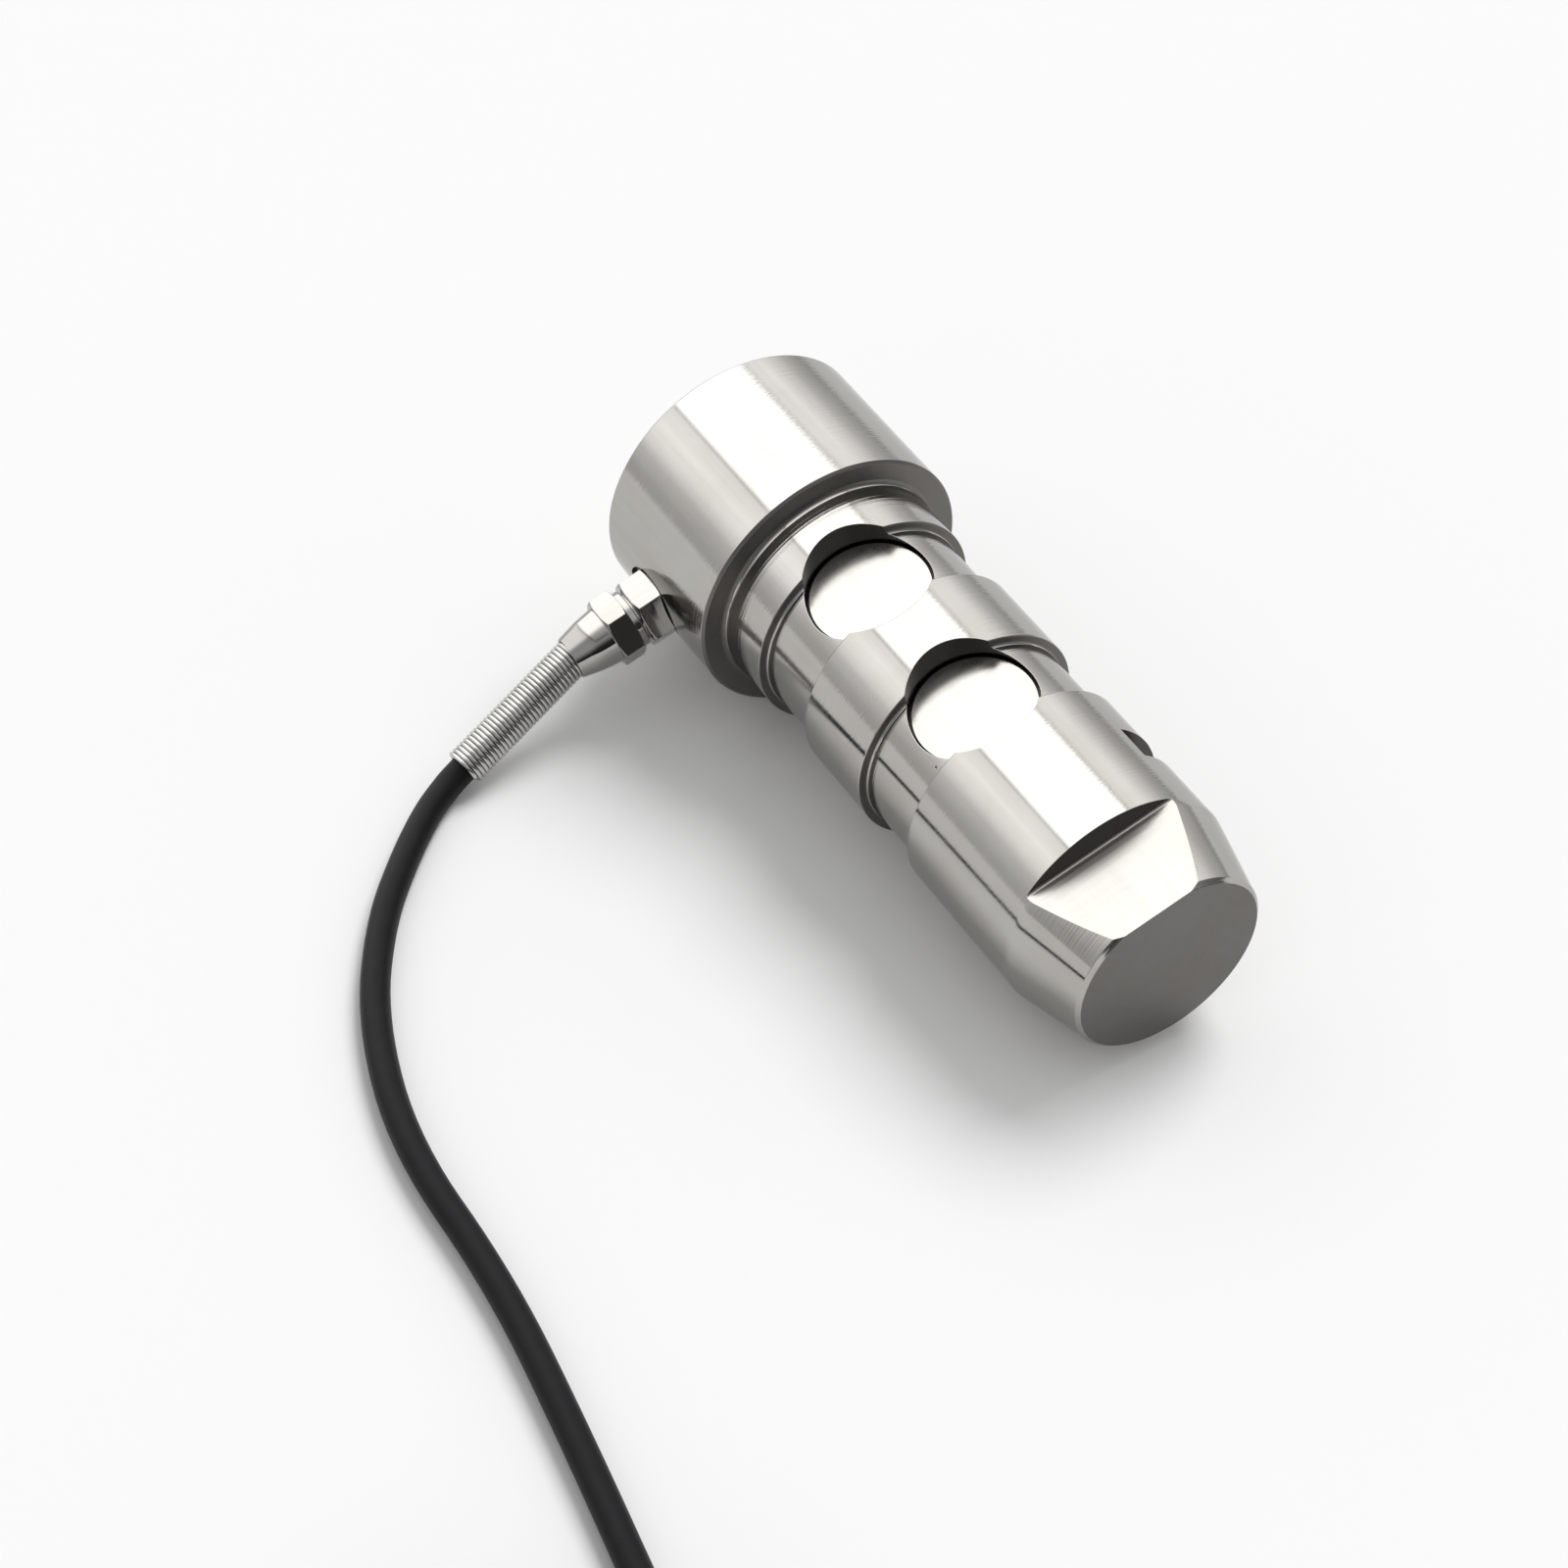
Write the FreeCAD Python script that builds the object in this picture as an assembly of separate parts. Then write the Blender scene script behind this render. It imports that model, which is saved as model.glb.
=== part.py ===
"""Shear pin load cell with a flanged head, a side cable gland and a coiled cable.

The pin is built about its own axis: x runs from the rear face of the head to the tip,
+z is the side of the keeper flat and of the upper gauge pockets, -y is the side of the gland.
It is then laid down as it rests on a flat surface, on the front rim of its head and on the
end of its last land, with its origin under the middle of its outer box. Millimetres.
"""
import FreeCAD, Part
import math
import os

V = FreeCAD.Vector
X_AXIS = V(1, 0, 0)
Z_AXIS = V(0, 0, 1)
ORIGIN = V(0, 0, 0)

# Head, shaft and tip
HEAD_R = 30.5
HEAD_LENGTH = 38.0
HEAD_REAR_CHAMFER = 1.0
HEAD_FRONT_CHAMFER = 0.6
SHAFT_R = 25.0
NECK_LENGTH = 12.8
MIDDLE_LAND = 19.6
END_LAND = 33.8
TAPER_LENGTH = 17.2
TIP_R = 20.8
TIP_CHAMFER = 0.9
TIP_CROWN = 0.01

# Shear grooves, and the gauge pockets bored across them from both sides
GROOVE_WIDTH = 17.0
GROOVE_DEPTH = 2.0
POCKET_R = 13.0
LEDGE_WIDTH = 2.0
WEB_THICKNESS = 12.0
DISC_SINK = 4.7
DISC_THICKNESS = 1.6
DISC_GAP = 0.4

# Keeper flat over the tip, and the slot for a keeper plate in the end land
FLAT_DEPTH = 6.3
FLAT_OVERLAP = 1.5
SLOT_WIDTH = 7.8
SLOT_DEPTH = 5.6
SLOT_INSET = 11.7

# Hollow of the head, its cover, the cover's seal and screws
CAVITY_R = 17.5
CAVITY_DEPTH = 28.0
COVER_R = 26.0
COVER_THICKNESS = 3.0
COVER_GAP = 0.1
O_RING_R = 19.2
O_RING_SECTION_R = 0.55
O_RING_GROOVE_GAP = 0.25
SCREW_COUNT = 4
SCREW_CIRCLE_R = 22.7
SCREW_R = 1.5
SCREW_HEAD_R = 2.8
SCREW_LENGTH = 9.0
SCREW_HOLE_GAP = 0.15
SOCKET_R = 1.0
SOCKET_DEPTH = 1.1

# Bridge board on four spacers over the floor of the hollow
BOARD_R = 15.5
BOARD_THICKNESS = 1.6
SPACER_LENGTH = 3.4
SPACER_R = 2.0
SPACER_CIRCLE_R = 11.8
BOARD_SCREW_R = 1.1
BOARD_SCREW_HEAD_R = 1.9
BOARD_SCREW_HEAD_HEIGHT = 1.3
BOARD_SCREW_BITE = 4.5
BOARD_SCREW_GAP = 0.05
TERMINAL_HEIGHT = 8.5
TERMINAL_WIDTH = 8.0
TERMINAL_LENGTH = 12.0
TERMINAL_SHIFT = 5.2
TRIMMER_SHIFT = 6.8
TRIMMER_LENGTH = 6.4
TRIMMER_WIDTH = 3.2
TRIMMER_HEIGHT = 1.2
TRIMMER_COUNT = 3
TRIMMER_PITCH = 4.1

# Gauges on the webs, and the wires that lead to them through two long drillings
GAUGE_LENGTH = 10.0
GAUGE_WIDTH = 7.0
GAUGE_THICKNESS = 0.15
GRID_LENGTH = 5.0
GRID_WIDTH = 1.6
GRID_THICKNESS = 0.1
DRILLING_R = 1.6
DRILLING_OFFSET = 12.0
HARNESS_R = 1.2
BRANCH_R = 0.8
SOLDER_SHIFT = 3.4

# Cable gland screwed into the side of the head
GLAND_X = 17.2
GLAND_LEAN = 1.4
HEX_FLATS = 14.0
BODY_HEX_TURN = 57.1
CAP_HEX_TURN = 62.8
GLAND_THREAD_R = 5.9
GLAND_PORT_GAP = 0.1
GLAND_THREAD_LENGTH = 10.0
SPOT_FACE_GAP = 0.35
BODY_HEX_HEIGHT = 6.1
SPIGOT_R = 5.6
SPIGOT_LENGTH = 4.1
SEAL_WALL = 1.8
SEAL_LENGTH = 4.4
SEAL_GAP = 0.1
GLAND_O_RING_R = 6.5
GLAND_O_RING_SECTION_R = 0.45
CLAMP_RING_HEIGHT = 1.2
CAP_CLEAR = 0.5
COLLAR_R = 6.4
COLLAR_HEIGHT = 1.5
CAP_HEX_HEIGHT = 5.1
CONE_BASE_R = 6.35
CONE_HEIGHT = 8.9
CONE_BULGE = 0.25
CONE_LIP = 0.3

# Close-wound bend spring, leaning out of the mouth of the cap towards the ground
SPRING_R = 4.25
SPRING_WIRE = 1.0
SPRING_TURNS = 32
SPRING_HIDDEN_TURNS = 2
SPRING_VALLEY = 0.4
SPRING_SIDES = 12
SPRING_GAP = 0.1
SPRING_HEADING = 11.3
SPRING_END_HEIGHT = 5.0

# Cable
CABLE_R = 3.0
CABLE_BEND_IN_MOUTH = 30.0
LEAD_REACH = 14.5
CORE_BUNDLE_R = 1.6
CORE_GAP = 0.05

# How the pin lies: its roll about its own axis, gland side down
REST_ROLL = 15.5

# Route of the free cable on the ground, after the end of the spring, in the finished frame
CABLE_ROUTE = [
    (-53.2, -59.4, 3.3), (-49.9, -64.7, 3.0), (-41.6, -74.1, 3.0), (-28.2, -86.8, 3.0),
    (-6.7, -100.1, 3.0), (23.8, -109.4, 3.0), (61.3, -109.6, 3.0), (98.6, -115.0, 3.0),
]
CABLE_FIRST_RUN = 3.0
CABLE_LAST_RUN = 18.0
CABLE_ARC_SHARE = 0.45

# Coil of the unseen length: turns side by side and on each other, with a straight tail
COIL_CENTRE = (171.3, -165.7)
COIL_MEAN_R = 33.0
COIL_TURNS_WIDE = 3
COIL_TURNS_HIGH = 4
COIL_ENTRY_TURN = 82.0
COIL_TAIL = 24.0
COIL_BEVEL = 0.6
COIL_EXIT_TURN = -95.0

# Stripped far end of the cable
END_SLEEVE_R = 3.6
END_SLEEVE_LENGTH = 18.0
END_CORE_R = 0.65
END_CORE_LENGTH = 32.0
END_CORE_SPREAD = 8.0
END_CORE_TURN = 100.0
END_CORE_CIRCLE_R = 1.6

# How far a cut reaches past the surface that it opens
OVERCUT = 1.0

# Places worked out along the pin
NECK_END = HEAD_LENGTH + NECK_LENGTH
FIRST_GROOVE_END = NECK_END + GROOVE_WIDTH
MIDDLE_LAND_END = FIRST_GROOVE_END + MIDDLE_LAND
SECOND_GROOVE_END = MIDDLE_LAND_END + GROOVE_WIDTH
END_LAND_END = SECOND_GROOVE_END + END_LAND
SLOT_END = SECOND_GROOVE_END + SLOT_INSET + SLOT_WIDTH
PIN_LENGTH = END_LAND_END + TAPER_LENGTH
GROOVES = [(NECK_END, FIRST_GROOVE_END), (MIDDLE_LAND_END, SECOND_GROOVE_END)]
POCKET_CENTRES = [(start + end) / 2 for start, end in GROOVES]
GROOVE_R = SHAFT_R - GROOVE_DEPTH
DISC_TOP = GROOVE_R - DISC_SINK
LEDGE_Z = DISC_TOP - DISC_THICKNESS
LEDGE_BORE_R = POCKET_R - LEDGE_WIDTH
WEB_Z = WEB_THICKNESS / 2
GAUGE_TOP = WEB_Z + GAUGE_THICKNESS

# Places worked out in the head
BOARD_BACK = CAVITY_DEPTH - SPACER_LENGTH
BOARD_FRONT = BOARD_BACK - BOARD_THICKNESS
TERMINAL_FRONT = BOARD_FRONT - TERMINAL_HEIGHT

# Places worked out along the gland, measured from the axis of the pin
HEX_CORNER_R = HEX_FLATS / math.sqrt(3)
SPOT_FACE_R = HEX_CORNER_R + SPOT_FACE_GAP
GLAND_SEAT = math.sqrt(HEAD_R ** 2 - SPOT_FACE_R ** 2)
BODY_HEX_END = GLAND_SEAT + BODY_HEX_HEIGHT
SPIGOT_END = BODY_HEX_END + SPIGOT_LENGTH
SEAL_BORE_R = CABLE_R + SEAL_WALL
SEAL_END = SPIGOT_END + SEAL_GAP * 2
SEAL_START = SEAL_END - SEAL_LENGTH
CLAMP_RING_END = SEAL_END + CLAMP_RING_HEIGHT
CAP_START = BODY_HEX_END + CAP_CLEAR
COLLAR_END = CAP_START + COLLAR_HEIGHT
CAP_HEX_END = COLLAR_END + CAP_HEX_HEIGHT
CAP_END = CAP_HEX_END + CONE_HEIGHT
CAP_BORE_R = SPRING_R + SPRING_GAP
SPRING_INNER_R = SPRING_R - SPRING_WIRE
SPRING_LENGTH = SPRING_TURNS * SPRING_WIRE


def straight_and_arcs(points, radii):
    """Wire of straight runs joined by tangent arcs: radii holds one radius per inner point."""
    edges = []
    start = points[0]
    for before, corner, after, radius in zip(points, points[1:], points[2:], radii):
        if radius <= 0:
            edges.append(Part.LineSegment(start, corner).toShape())
            start = corner
            continue
        incoming = (corner - before).normalize()
        outgoing = (after - corner).normalize()
        half_turn = incoming.getAngle(outgoing) / 2
        reach = radius * math.tan(half_turn)
        arc_start = corner - incoming * reach
        arc_end = corner + outgoing * reach
        inward = (outgoing - incoming).normalize()
        arc_middle = corner + inward * (radius / math.cos(half_turn) - radius)
        if (arc_start - start).Length > 1e-6:
            edges.append(Part.LineSegment(start, arc_start).toShape())
        edges.append(Part.Arc(arc_start, arc_middle, arc_end).toShape())
        start = arc_end
    edges.append(Part.LineSegment(start, points[-1]).toShape())
    return Part.Wire(edges)


def turned(outline, axis):
    """Solid of revolution about a main axis: outline holds (place along the axis, radius)."""
    points = []
    for along, radius in outline:
        if axis is X_AXIS:
            points.append(V(along, 0, radius))
        else:
            points.append(V(radius, 0, along))
    points.append(points[0])
    return Part.Face(Part.makePolygon(points)).revolve(ORIGIN, axis, 360)


def cylinder(radius, start, end):
    """Round bar between two points."""
    span = end - start
    return Part.makeCylinder(radius, span.Length, start, span)


def ring(outer_r, inner_r, start, end):
    """Plain round sleeve between two heights on the z axis."""
    outer = cylinder(outer_r, V(0, 0, start), V(0, 0, end))
    return outer.cut(cylinder(inner_r, V(0, 0, start), V(0, 0, end)))


def seal_ring(middle_r, section_r, start, axis):
    """Squeezed seal ring about a main axis: its section is a hexagon between two flat seats."""
    outline = []
    for corner in range(6):
        angle = math.radians(30 + 60 * corner)
        reach = section_r / math.cos(math.radians(30))
        outline.append((start + section_r + reach * math.cos(angle),
                        middle_r + reach * math.sin(angle)))
    return turned(outline, axis)


def swept(points, radii, section_r):
    """Round tube along straight runs and tangent arcs."""
    path = straight_and_arcs(points, radii)
    circle = Part.Circle(points[0], points[1] - points[0], section_r).toShape()
    return path.makePipeShell([Part.Wire([circle])], True, True)


def hexagon(flats, start, end, turn):
    """Hexagonal bar on the z axis, with one corner turned by an angle from the x axis."""
    corner_r = flats / math.sqrt(3)
    return polygon_bar(6, corner_r, start, end, turn)


def polygon_wire(sides, corner_r, height, turn):
    """Closed polygon about the z axis at a height."""
    points = []
    for side in range(sides + 1):
        angle = math.radians(turn + 360 / sides * side)
        points.append(V(corner_r * math.cos(angle), corner_r * math.sin(angle), height))
    return Part.makePolygon(points)


def polygon_bar(sides, corner_r, start, end, turn):
    """Polygonal bar on the z axis."""
    return Part.Face(polygon_wire(sides, corner_r, start, turn)).extrude(V(0, 0, end - start))


def hexagon_along_x(corner_r, start, end, y, z):
    """Hexagonal bar beside the axis of the pin."""
    bar = polygon_bar(6, corner_r, start, end, 0)
    bar.rotate(ORIGIN, V(0, 1, 0), 90)
    bar.translate(V(0, y, z))
    return bar


def around_x(shape, angle):
    """Copy of a shape turned about the axis of the pin."""
    copy = shape.copy()
    copy.rotate(ORIGIN, X_AXIS, angle)
    return copy


def on_gland_axis(shape):
    """Shape built on the z axis, laid on the axis of the gland."""
    lean = math.radians(GLAND_LEAN)
    axis = V(0, -math.cos(lean), -math.sin(lean))
    side = axis.cross(X_AXIS)
    copy = shape.copy()
    copy.Placement = FreeCAD.Placement(FreeCAD.Matrix(
        X_AXIS.x, side.x, axis.x, GLAND_X,
        X_AXIS.y, side.y, axis.y, 0,
        X_AXIS.z, side.z, axis.z, 0,
        0, 0, 0, 1))
    return copy


def rest_placement():
    """Placement of the pin on the ground: rolled, and tipped onto its head and its end land."""
    head_contact = HEAD_LENGTH - HEAD_FRONT_CHAMFER
    tip_down = math.atan2(HEAD_R - SHAFT_R, END_LAND_END - head_contact)
    height = head_contact * math.sin(tip_down) + HEAD_R * math.cos(tip_down)
    roll = FreeCAD.Rotation(X_AXIS, REST_ROLL)
    tip = FreeCAD.Rotation(V(0, 1, 0), math.degrees(tip_down))
    return FreeCAD.Placement(V(0, 0, height), tip.multiply(roll))


def spring_direction():
    """Direction of the spring as the pin lies, and the same in the frame of the gland."""
    placement = rest_placement()
    to_gland = on_gland_axis(Part.Vertex(ORIGIN)).Placement
    mouth = placement.multVec(to_gland.multVec(V(0, 0, CAP_END)))
    heading = math.radians(SPRING_HEADING)
    slope = math.asin((mouth.z - SPRING_END_HEIGHT) / SPRING_LENGTH)
    lying = V(math.cos(slope) * math.sin(heading), -math.cos(slope) * math.cos(heading),
              -math.sin(slope))
    in_pin = placement.Rotation.inverted().multVec(lying)
    in_gland = to_gland.Rotation.inverted().multVec(in_pin)
    return mouth + lying * SPRING_LENGTH, lying, in_gland


def pin_profile():
    """Turned form of the pin, without bores."""
    outline = [
        (0, 0),
        (0, HEAD_R - HEAD_REAR_CHAMFER),
        (HEAD_REAR_CHAMFER, HEAD_R),
        (HEAD_LENGTH - HEAD_FRONT_CHAMFER, HEAD_R),
        (HEAD_LENGTH, HEAD_R - HEAD_FRONT_CHAMFER),
        (HEAD_LENGTH, SHAFT_R),
    ]
    for start, end in GROOVES:
        outline += [(start, SHAFT_R), (start, GROOVE_R), (end, GROOVE_R), (end, SHAFT_R)]
    outline += [(SLOT_END, SHAFT_R), (END_LAND_END, SHAFT_R)]
    edges = Part.makePolygon([V(along, 0, radius) for along, radius in outline]).Edges
    taper = (SHAFT_R - TIP_R) / TAPER_LENGTH
    rim_r = TIP_R + taper * TIP_CHAMFER
    taper_start = V(END_LAND_END, 0, SHAFT_R)
    rim = V(PIN_LENGTH - TIP_CHAMFER, 0, rim_r)
    face_edge = V(PIN_LENGTH, 0, rim_r - TIP_CHAMFER)
    edges.append(crowned_edge(taper_start, rim))
    edges.append(crowned_edge(rim, face_edge))
    edges += Part.makePolygon([face_edge, V(PIN_LENGTH, 0, 0), ORIGIN]).Edges
    return Part.Face(Part.Wire(edges)).revolve(ORIGIN, X_AXIS, 360)


def crowned_edge(start, end):
    """Turned edge between two points, slightly crowned as the tool leaves it."""
    middle = (start + end) / 2 + V(0, 0, TIP_CROWN)
    curve = Part.BSplineCurve()
    curve.interpolate([start, middle, end])
    return curve.toShape()


def pocket(centre_x):
    """Stepped bore of one gauge pocket on the upper side."""
    wide = cylinder(POCKET_R, V(centre_x, 0, LEDGE_Z), V(centre_x, 0, SHAFT_R + OVERCUT))
    deep = cylinder(LEDGE_BORE_R, V(centre_x, 0, WEB_Z), V(centre_x, 0, LEDGE_Z + OVERCUT))
    return wide.fuse(deep)


def spacer_places():
    """Middles of the board's spacers, in the plane across the pin."""
    places = []
    for quarter in range(4):
        angle = math.radians(45 + 90 * quarter)
        places.append((SPACER_CIRCLE_R * math.cos(angle), SPACER_CIRCLE_R * math.sin(angle)))
    return places


def cover_screw_places():
    """Middles of the cover's screws, in the plane across the pin."""
    places = []
    for number in range(SCREW_COUNT):
        angle = math.radians(45 + 360 / SCREW_COUNT * number)
        places.append((SCREW_CIRCLE_R * math.cos(angle), SCREW_CIRCLE_R * math.sin(angle)))
    return places


def head_cuts():
    """Hollow of the head, cover seat, seal groove, tapped holes and gland port."""
    cuts = [
        cylinder(CAVITY_R, V(0, 0, 0), V(CAVITY_DEPTH, 0, 0)),
        cylinder(COVER_R, V(0, 0, 0), V(COVER_THICKNESS, 0, 0)),
    ]
    groove_half = O_RING_SECTION_R + O_RING_GROOVE_GAP
    groove_end = COVER_THICKNESS + 2 * O_RING_SECTION_R
    seal_groove = cylinder(O_RING_R + groove_half, V(0, 0, 0), V(groove_end, 0, 0))
    cuts.append(seal_groove.cut(
        cylinder(O_RING_R - groove_half, V(0, 0, 0), V(groove_end, 0, 0))))
    for y, z in cover_screw_places():
        cuts.append(cylinder(SCREW_R, V(0, y, z), V(SCREW_LENGTH, y, z)))
    for y, z in spacer_places():
        bite_end = CAVITY_DEPTH + BOARD_SCREW_BITE
        cuts.append(cylinder(BOARD_SCREW_R, V(0, y, z), V(bite_end, y, z)))
    port_start = CAVITY_R - GLAND_THREAD_R
    port = cylinder(GLAND_THREAD_R + GLAND_PORT_GAP, V(0, 0, port_start), V(0, 0, HEAD_R))
    spot_face = cylinder(SPOT_FACE_R, V(0, 0, GLAND_SEAT), V(0, 0, HEAD_R + OVERCUT))
    cuts.append(on_gland_axis(port))
    cuts.append(on_gland_axis(spot_face))
    return cuts


def pin_body():
    """One-piece steel pin with all its bores and flats."""
    body = pin_profile()
    cuts = head_cuts()
    drilling = cylinder(DRILLING_R, V(CAVITY_DEPTH - OVERCUT, 0, DRILLING_OFFSET),
                        V(POCKET_CENTRES[-1] - LEDGE_BORE_R / 2, 0, DRILLING_OFFSET))
    upper = [pocket(centre_x) for centre_x in POCKET_CENTRES] + [drilling]
    cuts += upper
    cuts += [around_x(cut, 180) for cut in upper]
    flat_z = SHAFT_R - FLAT_DEPTH
    flat_start = END_LAND_END - FLAT_OVERLAP
    cuts.append(Part.makeBox(PIN_LENGTH - flat_start + OVERCUT, 2 * SHAFT_R, SHAFT_R,
                             V(flat_start, -SHAFT_R, flat_z)))
    cuts.append(Part.makeBox(SLOT_WIDTH, SHAFT_R, 2 * SHAFT_R,
                             V(SLOT_END - SLOT_WIDTH, SHAFT_R - SLOT_DEPTH, -SHAFT_R)))
    return body.cut(cuts)


def sealing_disc(centre_x):
    """Thin cover disc on the ledge of an upper pocket."""
    return cylinder(POCKET_R - DISC_GAP, V(centre_x, 0, LEDGE_Z), V(centre_x, 0, DISC_TOP))


def gauge(centre_x):
    """Strain gauge on the web of an upper pocket: a backing with two crossed grids."""
    backing = Part.makeBox(GAUGE_LENGTH, GAUGE_WIDTH, GAUGE_THICKNESS,
                           V(-GAUGE_LENGTH / 2, -GAUGE_WIDTH / 2, WEB_Z))
    grids = []
    for turn in (45, -45):
        grid = Part.makeBox(GRID_LENGTH, GRID_WIDTH, GAUGE_THICKNESS + GRID_THICKNESS,
                            V(-GRID_LENGTH / 2, -GRID_WIDTH / 2, WEB_Z))
        grid.rotate(ORIGIN, Z_AXIS, turn)
        grids.append(grid)
    patch = backing.fuse(grids)
    patch.translate(V(centre_x, 0, 0))
    return patch


def harness():
    """Bundle of gauge wires in the upper drilling, with a branch down to each gauge."""
    solder_places = [centre_x - SOLDER_SHIFT for centre_x in POCKET_CENTRES]
    bundle = cylinder(HARNESS_R, V(BOARD_BACK, 0, DRILLING_OFFSET),
                      V(solder_places[-1] + HARNESS_R, 0, DRILLING_OFFSET))
    branches = [cylinder(BRANCH_R, V(x, 0, GAUGE_TOP), V(x, 0, DRILLING_OFFSET))
                for x in solder_places]
    return bundle.fuse(branches)


def end_cover():
    """Round cover of the hollow, countersunk for its screws."""
    cover = cylinder(COVER_R - COVER_GAP, ORIGIN, V(COVER_THICKNESS, 0, 0))
    head_r = SCREW_HEAD_R + SCREW_HOLE_GAP
    hole_r = SCREW_R + SCREW_HOLE_GAP
    holes = []
    for y, z in cover_screw_places():
        holes.append(Part.makeCone(head_r, hole_r, head_r - hole_r, V(0, y, z), X_AXIS))
        holes.append(cylinder(hole_r, V(0, y, z), V(COVER_THICKNESS, y, z)))
    return cover.cut(holes)


def cover_o_ring():
    """Face seal of the cover."""
    return seal_ring(O_RING_R, O_RING_SECTION_R, COVER_THICKNESS, X_AXIS)


def cover_screws():
    """Countersunk screws of the cover."""
    screws = []
    for y, z in cover_screw_places():
        head_height = SCREW_HEAD_R - SCREW_R
        head = Part.makeCone(SCREW_HEAD_R, SCREW_R, head_height,
                             V(SCREW_HOLE_GAP, y, z), X_AXIS)
        shank = cylinder(SCREW_R, V(head_height, y, z), V(SCREW_LENGTH, y, z))
        socket = hexagon_along_x(SOCKET_R, 0, SCREW_HOLE_GAP + SOCKET_DEPTH, y, z)
        screws.append(head.fuse(shank).cut(socket))
    return Part.makeCompound(screws)


def bridge_board():
    """Round circuit board with four screw holes."""
    board = cylinder(BOARD_R, V(BOARD_FRONT, 0, 0), V(BOARD_BACK, 0, 0))
    hole_r = BOARD_SCREW_R + BOARD_SCREW_GAP
    holes = [cylinder(hole_r, V(BOARD_FRONT, y, z), V(BOARD_BACK, y, z))
             for y, z in spacer_places()]
    return board.cut(holes)


def board_spacers():
    """Hexagonal spacers between the board and the floor of the hollow."""
    spacers = []
    hole_r = BOARD_SCREW_R + BOARD_SCREW_GAP
    for y, z in spacer_places():
        spacer = hexagon_along_x(SPACER_R, BOARD_BACK, CAVITY_DEPTH, y, z)
        spacers.append(spacer.cut(cylinder(hole_r, V(BOARD_BACK, y, z), V(CAVITY_DEPTH, y, z))))
    return Part.makeCompound(spacers)


def board_screws():
    """Pan-head screws through the board and its spacers into the pin."""
    screws = []
    for y, z in spacer_places():
        head_start = BOARD_FRONT - BOARD_SCREW_HEAD_HEIGHT
        head = cylinder(BOARD_SCREW_HEAD_R, V(head_start, y, z), V(BOARD_FRONT, y, z))
        shank = cylinder(BOARD_SCREW_R, V(BOARD_FRONT, y, z),
                         V(CAVITY_DEPTH + BOARD_SCREW_BITE, y, z))
        screws.append(head.fuse(shank))
    return Part.makeCompound(screws)


def terminal_block():
    """Screw terminal strip on the board, facing the incoming cores."""
    return Part.makeBox(TERMINAL_HEIGHT, TERMINAL_WIDTH, TERMINAL_LENGTH,
                        V(TERMINAL_FRONT, -TERMINAL_SHIFT - TERMINAL_WIDTH / 2,
                          -TERMINAL_LENGTH / 2))


def trim_resistors():
    """Balance resistors on the free half of the board."""
    row = []
    for number in range(TRIMMER_COUNT):
        middle_z = (number - (TRIMMER_COUNT - 1) / 2) * TRIMMER_PITCH
        row.append(Part.makeBox(TRIMMER_HEIGHT, TRIMMER_LENGTH, TRIMMER_WIDTH,
                                V(BOARD_FRONT - TRIMMER_HEIGHT, TRIMMER_SHIFT - TRIMMER_LENGTH / 2,
                                  middle_z - TRIMMER_WIDTH / 2)))
    return Part.makeCompound(row)


def gland_body():
    """Hexagon with a thread into the head and a spigot for the cap."""
    thread_start = GLAND_SEAT - GLAND_THREAD_LENGTH
    body = hexagon(HEX_FLATS, GLAND_SEAT, BODY_HEX_END, BODY_HEX_TURN)
    body = body.fuse([
        cylinder(GLAND_THREAD_R, V(0, 0, thread_start), V(0, 0, GLAND_SEAT)),
        cylinder(SPIGOT_R, V(0, 0, BODY_HEX_END), V(0, 0, SPIGOT_END)),
    ])
    seal_bore = cylinder(SEAL_BORE_R + SEAL_GAP, V(0, 0, SEAL_START), V(0, 0, SPIGOT_END))
    cable_bore = cylinder(CABLE_R + SEAL_GAP, V(0, 0, thread_start), V(0, 0, SPIGOT_END))
    ring_half = GLAND_O_RING_SECTION_R + SEAL_GAP
    ring_top = GLAND_SEAT + 2 * GLAND_O_RING_SECTION_R
    ring_groove = ring(GLAND_O_RING_R + ring_half, GLAND_O_RING_R - ring_half,
                       GLAND_SEAT, ring_top)
    return body.cut([seal_bore, cable_bore, ring_groove])


def gland_o_ring():
    """Seal ring in the underside of the gland's hexagon."""
    return seal_ring(GLAND_O_RING_R, GLAND_O_RING_SECTION_R, GLAND_SEAT, Z_AXIS)


def gland_seal():
    """Rubber sleeve squeezed onto the cable."""
    return ring(SEAL_BORE_R, CABLE_R, SEAL_START, SEAL_END)


def clamp_ring():
    """Washer between the rubber sleeve and the spring."""
    return ring(SEAL_BORE_R, CABLE_R + SEAL_GAP, SEAL_END, CLAMP_RING_END)


def cap_nut():
    """Cap with a round collar, a hexagon and a slender dome down to the spring."""
    lip_r = CAP_BORE_R + CONE_LIP
    dome_middle_r = (CONE_BASE_R + lip_r) / 2 + CONE_BULGE
    cap = turned([
        (CAP_START, 0),
        (CAP_START, COLLAR_R),
        (COLLAR_END, COLLAR_R),
        (CAP_HEX_END, CONE_BASE_R),
        ((CAP_HEX_END + CAP_END) / 2, dome_middle_r),
        (CAP_END, lip_r),
        (CAP_END, 0),
    ], Z_AXIS)
    cap = cap.fuse(hexagon(HEX_FLATS, COLLAR_END, CAP_HEX_END, CAP_HEX_TURN))
    thread_bore = cylinder(SPIGOT_R + SEAL_GAP, V(0, 0, CAP_START), V(0, 0, CLAMP_RING_END))
    spring_bore = cylinder(CAP_BORE_R, V(0, 0, CLAMP_RING_END), V(0, 0, CAP_END))
    return cap.cut([thread_bore, spring_bore])


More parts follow.
